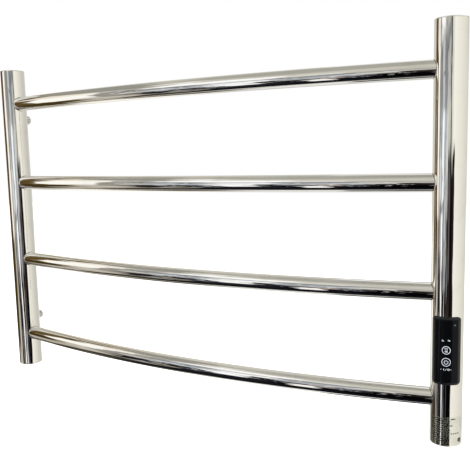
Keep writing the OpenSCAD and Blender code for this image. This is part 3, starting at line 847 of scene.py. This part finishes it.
def fan_strip(start, count):
    """Closes a long narrow loop with quads across it, pairing the points of its two sides
    from the top downwards."""
    faces = []
    k = count // 4
    right, left = k, k + 1
    for _ in range(count // 2 - 1):
        r2, l2 = (right - 1) % count, (left + 1) % count
        faces.append([start + right, start + left, start + l2, start + r2])
        right, left = r2, l2
    return faces


def seal_piece():
    """The gasket between the frame and the post, with a rounded lip."""
    outer = 0.45 * MM
    inner = (PANEL_W - TRAY_W) / 2 - WINDOW_GAP
    inner_h = (PANEL_H - TRAY_H) / 2 - WINDOW_GAP
    low, high = POST_R + 0.02 * MM, POST_R + SEAL_T
    hole = outline(PANEL_W - 2 * inner, PANEL_H - 2 * inner_h, 0.8 * MM)

    def hole_loop(radius):
        return [on_panel(x, z, radius) for x, z in hole]

    loops = [hole_loop(low), panel_loop(outer, low), panel_loop(outer - 0.15 * MM, (low + high) / 2),
             panel_loop(outer, high), hole_loop(high)]
    verts, faces = ring_of_loops(loops)
    return make_piece("panel_gasket", verts, faces, RUBBER, ["panel_seal"], sharp=60)


def ribbon(points, width, closed=False):
    """The two edges of a flat line of even width through points given as (x, z)."""
    left, right = [], []
    n = len(points)
    for k, (x, z) in enumerate(points):
        ax, az = points[(k - 1) % n] if closed or k > 0 else points[k]
        bx, bz = points[(k + 1) % n] if closed or k < n - 1 else points[k]
        dx, dz = bx - ax, bz - az
        size = math.hypot(dx, dz) or 1.0
        nx, nz = -dz / size * width / 2, dx / size * width / 2
        left.append((x + nx, z + nz))
        right.append((x - nx, z - nz))
    return left, right


def arc_points(cx, cz, radius, first, last, steps):
    return [(cx + radius * math.cos(math.radians(first + (last - first) * k / steps)),
             cz + radius * math.sin(math.radians(first + (last - first) * k / steps)))
            for k in range(steps + 1)]


class Print:
    """Thin raised ink on a curved face: lines are added, then made into one piece."""

    def __init__(self, surface, low, high):
        self.surface, self.low, self.high = surface, low, high
        self.verts, self.faces = [], []

    def line(self, points, width, closed=False):
        left, right = ribbon(points, width, closed)
        start = len(self.verts)
        for a, b in zip(left, right):
            self.verts += [self.surface(*a, self.high), self.surface(*b, self.high),
                           self.surface(*b, self.low), self.surface(*a, self.low)]
        n = len(points)
        self.faces += grid_faces(n, 4, close_rows=closed, close_columns=True, start=start)
        if not closed:
            end = start + 4 * (n - 1)
            self.faces += [[start, start + 1, start + 2, start + 3], [end, end + 1, end + 2, end + 3]]
        return self

    def bar(self, x0, z0, x1, z1, width, steps=6):
        points = [(x0 + (x1 - x0) * k / steps, z0 + (z1 - z0) * k / steps) for k in range(steps + 1)]
        return self.line(points, width)

    def ring(self, cx, cz, radius, width, steps=64):
        points = arc_points(cx, cz, radius, 0, 360 * (steps - 1) / steps, steps - 1)
        return self.line(points, width, True)

    def piece(self, name, material, slot, replaces=()):
        return make_piece(name, self.verts, self.faces, material, replaces, sharp=40)


KEY_X = 0.2 * MM
TIMER_KEY_Z = 1.8 * MM
POWER_KEY_Z = -12.5 * MM
LAMP_Z = 13.6 * MM
ON_OFF_Z = -21.5 * MM
PILOT_X = 9.4 * MM
PILOT_Z = 32 * MM
TIMER_KEY_R = 4.55 * MM
POWER_KEY_R = 4.85 * MM
INK = 0.045 * MM


def marks_piece():
    """The printed marks: two ringed keys, two lamp marks, and an I and O mark under the power key."""
    ink = Print(on_panel, PANEL_R - 0.02 * MM, PANEL_R + INK)
    ink.ring(KEY_X, TIMER_KEY_Z, TIMER_KEY_R, 0.65 * MM)
    ink.ring(KEY_X, POWER_KEY_Z, POWER_KEY_R, 0.65 * MM)
    hourglass(ink, KEY_X, TIMER_KEY_Z)
    power_mark(ink, KEY_X, POWER_KEY_Z)
    lamp_marks(ink)
    on_off_mark(ink)
    return ink.piece("panel_marks", GLOWING_WHITE_PRINT, "clear_guide")


def hourglass(ink, x, z):
    w, h, line = 1.4 * MM, 2.1 * MM, 0.5 * MM
    for way in (-1, 1):
        ink.bar(x - w - 0.4 * MM, z + way * h, x + w + 0.4 * MM, z + way * h, line)
    for way in (-1, 1):
        ink.line([(x + way * w, z + h), (x + way * w, z + 0.62 * h), (x + way * 0.25 * w, z),
                  (x + way * w, z - 0.62 * h), (x + way * w, z - h)], 0.4 * MM)
    ink.bar(x - 0.6 * w, z - 0.7 * h, x + 0.6 * w, z - 0.7 * h, line)


def power_mark(ink, x, z):
    ink.line(arc_points(x, z - 0.2 * MM, 2.2 * MM, 125, 415, 40), 0.6 * MM)
    ink.bar(x, z + 0.3 * MM, x, z + 2.7 * MM, 0.6 * MM)


def lamp_marks(ink):
    """A low and a high heat lamp mark: one short wave, and two."""
    wave_w, wave_h, pitch = 2.5 * MM, 0.35 * MM, 1.0 * MM
    for x, count in ((-3.9 * MM, 1), (3.1 * MM, 2)):
        for k in range(count):
            lift = (k - (count - 1) / 2) * pitch
            points = [(x + (t / 12 - 0.5) * wave_w,
                       LAMP_Z + lift + wave_h * math.sin(FULL_TURN * t / 12)) for t in range(13)]
            ink.line(points, 0.42 * MM)
        if count == 1:
            ink.bar(x - wave_w / 2, LAMP_Z - pitch, x + wave_w / 2, LAMP_Z - pitch, 0.32 * MM)


def on_off_mark(ink):
    """I, a slash and O, with a short rule each side."""
    ink.bar(-2.4 * MM, ON_OFF_Z - 1.1 * MM, -2.4 * MM, ON_OFF_Z + 1.1 * MM, 0.55 * MM)
    ink.bar(-0.9 * MM, ON_OFF_Z - 1.2 * MM, 0.9 * MM, ON_OFF_Z + 1.2 * MM, 0.4 * MM)
    ink.ring(3.0 * MM, ON_OFF_Z, 1.0 * MM, 0.5 * MM, 32)
    for way in (-1, 1):
        ink.bar(way * 4.8 * MM, ON_OFF_Z, way * 6.2 * MM, ON_OFF_Z, 0.45 * MM)


def pilot_piece():
    """The pilot lamp's small domed window."""
    rings = [(0.9, 0.0), (0.86, 0.10), (0.7, 0.2), (0.45, 0.27), (0.15, 0.3)]
    count = 32
    verts = []
    for radius, lift in [(0.9, -0.9)] + rings:
        for k in range(count):
            a = FULL_TURN * k / count
            x = PILOT_X + radius * MM * math.cos(a)
            z = PILOT_Z + radius * MM * math.sin(a)
            verts.append(on_panel(x, z, PANEL_R + lift * MM * 0.25 - 0.02 * MM))
    faces = grid_faces(len(rings) + 1, count, close_columns=True)
    last = len(rings) * count
    faces += [list(range(last, last + count)), list(range(count))[::-1]]
    return make_piece("pilot_window", verts, faces, PILOT_WHITE,
                      ["pilot_light"], sharp=60)

# ---------------------------------------------------------------------------------------------
# Rating label
# ---------------------------------------------------------------------------------------------

LABEL_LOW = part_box("rating_label")[0].z
LABEL_H = spread("rating_label").z
LABEL_MIDDLE = math.radians(30)
LABEL_HALF = math.radians(70)
FILM_T = 0.12 * MM


def on_label(across, up, radius):
    """A place on the label: across is the distance round the post from the label's middle."""
    a = LABEL_MIDDLE + across / POST_R - math.pi / 2
    return (POST_X + radius * math.cos(a), POST_Y + radius * math.sin(a), LABEL_LOW + up)


def label_piece():
    """The film, wrapped round the foot of the post, with softly rounded corners."""
    w, h = 2 * LABEL_HALF * POST_R, LABEL_H
    corner = 1.5 * MM
    columns, rows = 96, 12
    verts = []
    for radius in (POST_R + 0.01 * MM, POST_R + FILM_T):
        for r in range(rows + 1):
            up = h * r / rows
            for c in range(columns + 1):
                across = w * (c / columns - 0.5)
                verts.append(on_label(*soft_corner(across, up, w, h, corner), radius))
    n = columns + 1
    size = n * (rows + 1)
    faces = grid_faces(rows + 1, n) + grid_faces(rows + 1, n, start=size)
    edge = [c for c in range(n)] + [r * n + columns for r in range(1, rows + 1)]
    edge += [rows * n + c for c in range(columns - 1, -1, -1)] + [r * n for r in range(rows - 1, 0, -1)]
    faces += edge_faces(edge, size)
    return make_piece("label_film_wrap", verts, faces, LABEL_FILM,
                      ["rating_label"], sharp=40)


def soft_corner(across, up, w, h, corner):
    """Moves a point of a rectangle in from its corners, so that they are round."""
    x, z = across, up - h / 2
    dx, dz = abs(x) - (w / 2 - corner), abs(z) - (h / 2 - corner)
    if dx > 0 and dz > 0:
        reach = math.hypot(dx, dz)
        scale = max(dx, dz) / reach
        x = math.copysign(w / 2 - corner + dx * scale, x)
        z = math.copysign(h / 2 - corner + dz * scale, z)
    return x, z + h / 2


def label_marks_piece():
    """Plain rules where a rating label has its lines, and a blank round mark in its corner."""
    ink = Print(on_label, POST_R + FILM_T - 0.02 * MM, POST_R + FILM_T + 0.03 * MM)
    rule, space = 0.85 * MM, 0.8 * MM
    rows, pitch, lowest = 11, 2.75 * MM, 4.0 * MM
    for row in range(rows):
        up = lowest + pitch * row
        here = -23 * MM
        stop = -3.5 * MM + 1.8 * MM * math.sin(3.1 * row)
        while here < stop:
            length = 2.6 * MM + 1.4 * MM * math.sin(7.0 * row + here / MM)
            ink.bar(here, up, here + length, up, rule)
            here += length + space
    # Up, start and stop of the short rules to the right, in millimetres
    for up, start, stop in ((31.5, 0, 5.6), (23.5, -1, 2), (13.5, 0, 1.6), (13.5, 2.6, 4.4),
                            (13.5, 5.6, 7.4), (13.5, 8.6, 10.9)):
        ink.bar(start * MM, up * MM, stop * MM, up * MM, 1.3 * rule)
    for radius, steps in ((2.3 * MM, 40), (1.1 * MM, 32)):
        ink.ring(12.3 * MM, 4.6 * MM, radius, rule, steps)
    return ink.piece("label_rules", LABEL_PRINT, "label_film")

# ---------------------------------------------------------------------------------------------
# Studio
# ---------------------------------------------------------------------------------------------

CAMERA_PLACE = Vector((0.5184, -0.8104, 0.1047))
CAMERA_TURN = math.radians(30.03)
CAMERA_DIP = math.radians(7.136)
CAMERA_ROLL = math.radians(-1.451)
CAMERA_LENS = 49.85
SENSOR = 36.0

FLOOR_DROP = 0.30
FLOOR_SIZE = 14.0


def make_camera():
    forward = Vector((-math.sin(CAMERA_TURN), math.cos(CAMERA_TURN), 0))
    right = Vector((math.cos(CAMERA_TURN), math.sin(CAMERA_TURN), 0))
    up = Vector((0, 0, 1))
    look = forward * math.cos(CAMERA_DIP) - up * math.sin(CAMERA_DIP)
    top = up * math.cos(CAMERA_DIP) + forward * math.sin(CAMERA_DIP)
    side = right * math.cos(CAMERA_ROLL) + top * math.sin(CAMERA_ROLL)
    over = top * math.cos(CAMERA_ROLL) - right * math.sin(CAMERA_ROLL)
    data = bpy.data.cameras.new("camera")
    data.lens = CAMERA_LENS
    data.sensor_width = SENSOR
    data.clip_start, data.clip_end = 0.01, 50.0
    camera = bpy.data.objects.new("camera", data)
    camera.matrix_world = Matrix((
        (side.x, over.x, -look.x, CAMERA_PLACE.x),
        (side.y, over.y, -look.y, CAMERA_PLACE.y),
        (side.z, over.z, -look.z, CAMERA_PLACE.z),
        (0, 0, 0, 1)))
    bpy.context.scene.collection.objects.link(camera)
    bpy.context.scene.camera = camera


ROOM_CENTRE = Vector((0, -0.10, 0))
ROOM_R = 1.05
ROOM_GLOW = 1.06           # makes up for what the steel takes away

# The wall all round, by azimuth in degrees: 0 is straight out of the front and 90 to the right
WALL_SHADES = [(-180, "#c4c3bc"), (-150, "#cfcdc6"), (-124, "#d0cabc"), (-112, "#988e7c"), (-60, "#a3a19a"),
               (0, "#a3a29d"), (46, "#d2d0c6"), (56, "#f6f4ea"), (100, "#e6e3d8"), (140, "#d3d1c8"),
               (180, "#c4c3bc")]
HIGH_WALL = "#c9c6bb"
CEILING = "#a9a79f"

# What stands in the room and shows in the mirror polish, furthest first: from and to in azimuth,
# from and to in height, softness of the edges, all in degrees, then the colour and how solid it is
ROOM_THINGS = [
    ("white floor", -215, -122, -95, -36, 6, "#e8e8e6", 1.0),
    ("white floor right", 100, 215, -95, -42, 8, "#eaeae8", 1.0),
    ("grey rug", -136, -88, -58, -36, 6, "#625c55", 1.0),
    ("dark floor", -108, 100, -100, -47, 5, "#17181b", 1.0),
    ("bright corner", -146, -106, -33, -8, 4, "#fbf7ed", 1.0),
    ("corner shade", -146, -122, -4, 20, 6, "#cfc8ba", 0.8),
    ("brown wall", -120, -66, -20, 38, 5, "#968a72", 1.0),
    ("cabinet", -107, -76, -24, 34, 3, "#5a482a", 1.0),
    ("cabinet foot", -110, -72, -24, -5, 2.5, "#433518", 1.0),
    ("cabinet edge", -98, -93, -24, 33, 1.5, "#33250c", 0.9),
    ("cabinet shine", -92, -83, 10, 20, 3, "#74623f", 0.6),
    ("dark drawers", -106, -86, -42, -22, 3, "#40382b", 1.0),
    ("chest lid", -90, -72, -37, -23, 3, "#bcb5aa", 0.9),
    ("chest front", -90, -60, -48, -36, 3, "#3c3830", 1.0),
    ("doorway", -75, -59, -6, 30, 2, "#fffdf7", 1.0),
    ("doorway head", -85, -63, 23, 34, 3, "#efe8dc", 0.9),
    ("doorway foot", -58, -45, -34, -7, 2, "#1c1a13", 1.0),
    ("door frame", -59, -52, -24, 30, 1.5, "#9b968e", 1.0),
    ("door frame light", -68, -60, -34, -6, 1.5, "#c9c2b6", 0.9),
    ("door shade", -52, -44, 5, 26, 2, "#8b8985", 1.0),
    ("door sill", -51, -42, -4, 5, 1.5, "#cfccc8", 0.9),
    ("dark jamb", -53, -44, -15, -6, 2, "#67645f", 0.9),
    ("upper wall", -120, -52, 35, 57, 6, "#93918a", 0.95),
    ("beam", -62, -44, 49, 60, 3, "#eeece7", 0.9),
    ("lamp", -45, -6, 24, 46, 4, "#ffffff", 1.0),
    ("lamp side", -6, 10, 26, 42, 7, "#e4e4de", 0.8),
    ("cupboard", -44, 33, 12, 23, 2, "#85878a", 1.0),
    ("cupboard door", -27, -11, 10, 25, 2, "#d6d8d8", 0.7),
    ("cupboard glass", 11, 31, 8, 20, 2, "#c8c6bf", 0.7),
    ("window", -44, 12, -3, 12, 1.5, "#b3b8bd", 1.0),
    ("window pane", -26, -10, -4, 11, 1.5, "#fbfdff", 1.0),
    ("window pane left", -43, -36, -3, 4, 1, "#e8ebf0", 0.9),
    ("window post", -35, -31, 3, 14, 1, "#7d8387", 0.9),
    ("window post right", -6, 0, 1, 9, 1.5, "#7f858b", 0.9),
    ("window pane right", 9, 21, 2, 10, 1.5, "#dcdcd8", 0.8),
    ("shaded sill", -44, 16, -12, -3, 2, "#6c6f74", 1.0),
    ("sill light", -36, -28, -12, -5, 2, "#c6cbd4", 0.8),
    ("sill light right", -6, 8, -8, -3, 1.5, "#c4c8cf", 0.8),
    ("dark drape", -50, 38, -64, -12, 2, "#1e1f25", 1.0),
    ("drape front", -12, 56, -64, -15, 4, "#0b0c12", 1.0),
    ("drape foot", -80, 60, -74, -52, 5, "#121317", 0.8),
    ("brown screen", 14, 60, -20, -6, 3, "#231b19", 0.9),
    ("tall screen", 22, 62, -34, 5, 3, "#221b1a", 1.0),
    ("screen light", 28, 36, -12, 3, 2, "#6a6563", 0.8),
    ("screen edge", 43, 50, -36, 2, 2, "#0b0707", 0.95),
    ("screen foot", 14, 58, -60, -22, 4, "#050406", 0.95),
    ("pale strip", -28, -16, -30, -4, 1.5, "#ffffff", 1.0),
    ("strip shade", -16, -10, -30, -5, 1.5, "#232220", 1.0),
    ("grey patch", -9, 14, -17, -8, 2, "#98989b", 0.9),
    ("brown line", 1, 7, -28, -15, 1.5, "#b7a398", 0.9),
    ("white line", -5, 3, -52, -27, 1.5, "#f8f6f4", 1.0),
    ("slat", -46, -41, -44, -24, 1, "#b8ae9f", 0.7),
    ("pale step", 6, 15, -34, -26, 2, "#6c6c73", 0.7),
    ("door line", 35, 41, -2, 36, 1, "#353632", 1.0),
    ("door line light", 42, 49, 4, 34, 1.5, "#d3d1c8", 0.9),
    ("back lamp", 118, 215, 36, 52, 4, "#ffffff", 1.0),
    ("back lamp far", -215, -172, 36, 52, 4, "#ffffff", 1.0),
    ("back shelf", 118, 215, 28, 33, 2, "#5f5e5a", 1.0),
    ("back shelf far", -215, -172, 28, 33, 2, "#5f5e5a", 1.0),
    ("back floor shade", 112, 215, -76, -54, 5, "#3b3b3c", 1.0),
    ("back floor shade far", -215, -172, -76, -54, 5, "#3b3b3c", 1.0),
]


def place_of(azimuth):
    """An azimuth in degrees as a place on a colour ramp."""
    return (azimuth + 180) / 360


def room_shell():
    """A round shell of mesh about the room's centre."""
    columns, rows = 96, 48
    verts = []
    for r in range(1, rows):
        lift = math.pi * r / rows - math.pi / 2
        for c in range(columns):
            a = FULL_TURN * c / columns
            verts.append((ROOM_R * math.cos(lift) * math.cos(a), ROOM_R * math.cos(lift) * math.sin(a),
                          ROOM_R * math.sin(lift)))
    faces = grid_faces(rows - 1, columns, close_columns=True)
    faces += [list(range(columns)), list(range((rows - 2) * columns, (rows - 1) * columns))]
    return verts, faces


def band(tree, value, low, high, soft):
    """1 between low and high, and 0 outside, with soft edges."""
    rise = ease(tree, value, low - soft / 2, low + soft / 2)
    return calc(tree, "MULTIPLY", rise, ease(tree, value, high - soft / 2, high + soft / 2, 1.0, 0.0))


def room_material():
    """The room's soft light and shade, by direction from the middle of the room."""
    material = bpy.data.materials.new("soft_room")
    material.use_nodes = True
    tree = material.node_tree
    tree.nodes.clear()
    place = new_node(tree, "ShaderNodeTexCoord").outputs["Object"]
    heading = new_node(tree, "ShaderNodeVectorMath", operation="NORMALIZE")
    feed(tree, place, heading.inputs[0])
    split = new_node(tree, "ShaderNodeSeparateXYZ")
    feed(tree, heading.outputs[0], split.inputs["Vector"])
    azimuth = calc(tree, "ARCTAN2", split.outputs["X"], calc(tree, "MULTIPLY", split.outputs["Y"], -1.0))
    height = calc(tree, "MULTIPLY", calc(tree, "ARCSINE", split.outputs["Z"]), 180 / math.pi)
    sway = calc(tree, "SUBTRACT", noise(tree, heading.outputs[0], 5.0, 2.0, 0.5), 0.5)
    shift = calc(tree, "SUBTRACT", noise(tree, heading.outputs[0], 7.0, 3.5, 0.6), 0.5)
    height = calc(tree, "MULTIPLY_ADD", sway, 9.0, height)
    turn = calc(tree, "MULTIPLY_ADD", shift, 15.0, calc(tree, "MULTIPLY", azimuth, 180 / math.pi))
    round_place = calc(tree, "MULTIPLY_ADD", turn, 1 / 360, 0.5)
    colour = ramp(tree, round_place, [(place_of(a), c) for a, c in WALL_SHADES])
    colour = blend_colours(tree, ease(tree, height, 20, 44), colour, srgb(HIGH_WALL))
    for _, left, right, low, high, soft, shade, share in ROOM_THINGS:
        across, up = band(tree, turn, left, right, soft), band(tree, height, low, high, soft)
        mask = calc(tree, "MULTIPLY", across, up)
        colour = blend_colours(tree, calc(tree, "MULTIPLY", mask, share), colour, srgb(shade))
    colour = blend_colours(tree, ease(tree, height, 54, 68), colour, srgb(CEILING))
    glow = new_node(tree, "ShaderNodeEmission")
    feed(tree, add_glints(tree, colour, azimuth, height), glow.inputs["Color"])
    glow.inputs["Strength"].default_value = ROOM_GLOW
    out = new_node(tree, "ShaderNodeOutputMaterial")
    tree.links.new(glow.outputs[0], out.inputs["Surface"])
    return material


def add_glints(tree, colour, azimuth, height):
    """Thin bright and dark lines, such as frames and folds give, over the front of the room."""
    flat = new_node(tree, "ShaderNodeCombineXYZ")
    feed(tree, azimuth, flat.inputs["X"])
    feed(tree, calc(tree, "MULTIPLY", height, math.pi / 180), flat.inputs["Y"])
    upright_lines = noise(tree, stretch(tree, flat.outputs[0], (16.0, 3.0, 1.0)), 1.0, 2.0, 0.6)
    level_lines = noise(tree, stretch(tree, flat.outputs[0], (2.2, 22.0, 1.0)), 1.0, 2.0, 0.6)
    zone = calc(tree, "MULTIPLY", ease(tree, azimuth, -1.2, -0.9), ease(tree, azimuth, 0.3, 0.7, 1.0, 0.0))
    zone = calc(tree, "MULTIPLY", zone, band(tree, height, -38.0, 30.0, 14.0))
    bright = calc(tree, "MULTIPLY", ease(tree, upright_lines, 0.57, 0.64), zone)
    shade = calc(tree, "MULTIPLY", ease(tree, level_lines, 0.58, 0.68), zone)
    colour = blend_colours(tree, calc(tree, "MULTIPLY", shade, 0.55), colour, srgb("#17181d"))
    return blend_colours(tree, calc(tree, "MULTIPLY", bright, 0.45), colour, srgb("#eef1f4"))


def make_room():
    """The soft room shows only in what mirrors it."""
    verts, faces = room_shell()
    mesh = bpy.data.meshes.new("soft_room")
    mesh.from_pydata(verts, [], faces)
    mesh.materials.append(room_material())
    shell = bpy.data.objects.new("soft_room", mesh)
    shell.location = ROOM_CENTRE
    for kind in ("camera", "diffuse", "transmission", "volume_scatter", "shadow"):
        setattr(shell, f"visible_{kind}", False)
    bpy.context.scene.collection.objects.link(shell)


def make_world():
    """Plain white light from all round."""
    world = bpy.data.worlds.new("studio")
    bpy.context.scene.world = world
    world.use_nodes = True
    background = world.node_tree.nodes["Background"]
    background.inputs["Color"].default_value = (1, 1, 1, 1)
    background.inputs["Strength"].default_value = 1.0


def make_floor():
    """A pale matt floor well below the rack; it isn't mirrored in the tubes."""
    z = cad_box[0].z - FLOOR_DROP
    half = FLOOR_SIZE / 2
    mesh = bpy.data.meshes.new("floor")
    corners = [(-half, -half, z), (half, -half, z), (half, half, z), (-half, half, z)]
    mesh.from_pydata(corners, [], [(0, 1, 2, 3)])
    floor = bpy.data.objects.new("floor", mesh)
    bpy.context.scene.collection.objects.link(floor)
    material, tree, shader, place = new_material("pale_floor")
    grain = noise(tree, place, 3.0, 4.0)
    feed(tree, blend_colours(tree, grain, srgb("#f4f4f3"), srgb("#f0f0ef")), shader.inputs["Base Color"])
    shader.inputs["Roughness"].default_value = 0.8
    shader.inputs["Specular IOR Level"].default_value = 0.1
    shader.inputs["Emission Color"].default_value = (1, 1, 1, 1)
    shader.inputs["Emission Strength"].default_value = 0.5
    mesh.materials.append(material)
    floor.visible_glossy = False


def soft_light(name, place, aim, size, power):
    data = bpy.data.lights.new(name, "AREA")
    data.shape = "SQUARE"
    data.size = size
    data.energy = power
    light = bpy.data.objects.new(name, data)
    light.location = place
    light.rotation_mode = "QUATERNION"
    light.rotation_quaternion = (Vector(aim) - Vector(place)).to_track_quat("-Z", "Y")
    light.visible_glossy = False
    bpy.context.scene.collection.objects.link(light)


def make_lights():
    centre = (cad_box[0] + cad_box[1]) / 2
    soft_light("overhead", (0.2, -0.6, 2.6), centre, 3.0, 60.0)
    soft_light("front_fill", (1.6, -2.2, 0.8), centre, 1.6, 18.0)

# ---------------------------------------------------------------------------------------------
# Making
# ---------------------------------------------------------------------------------------------


def dress_nodes():
    for node, material in NODE_MATERIALS.items():
        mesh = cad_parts[node].data
        mesh.materials.clear()
        mesh.materials.append(material)


def make_rack():
    post_piece("left_post", LEFT_AXIS)
    post_piece("right_post", RIGHT_AXIS, control_window())
    for node, z in zip(BAR_NODES, BAR_Z):
        bar_piece(node, z)
        for side, word in ((-1, "left"), (1, "right")):
            weld_piece(f"weld_{node}_{word}", z, side)
    cap_piece("left_top_cap", LEFT_AXIS, 1)
    cap_piece("left_bottom_cap", LEFT_AXIS, -1)
    cap_piece("right_top_cap", RIGHT_AXIS, 1)
    cap_piece("right_bottom_cap", RIGHT_AXIS, -1, hole=5.0 * MM)
    for node in ("left_upper_boss", "left_lower_boss", "right_upper_boss", "right_lower_boss"):
        boss_piece(node)
    grommet_piece()
    clip_piece()


def make_control():
    seal_piece()
    frame_piece()
    tray_piece()
    lens_piece()
    marks_piece()
    pilot_piece()
    label_piece()
    label_marks_piece()


bpy.context.scene.view_settings.view_transform = "Standard"
make_camera()
make_world()
make_room()
make_floor()
make_lights()
dress_nodes()
make_rack()
make_control()
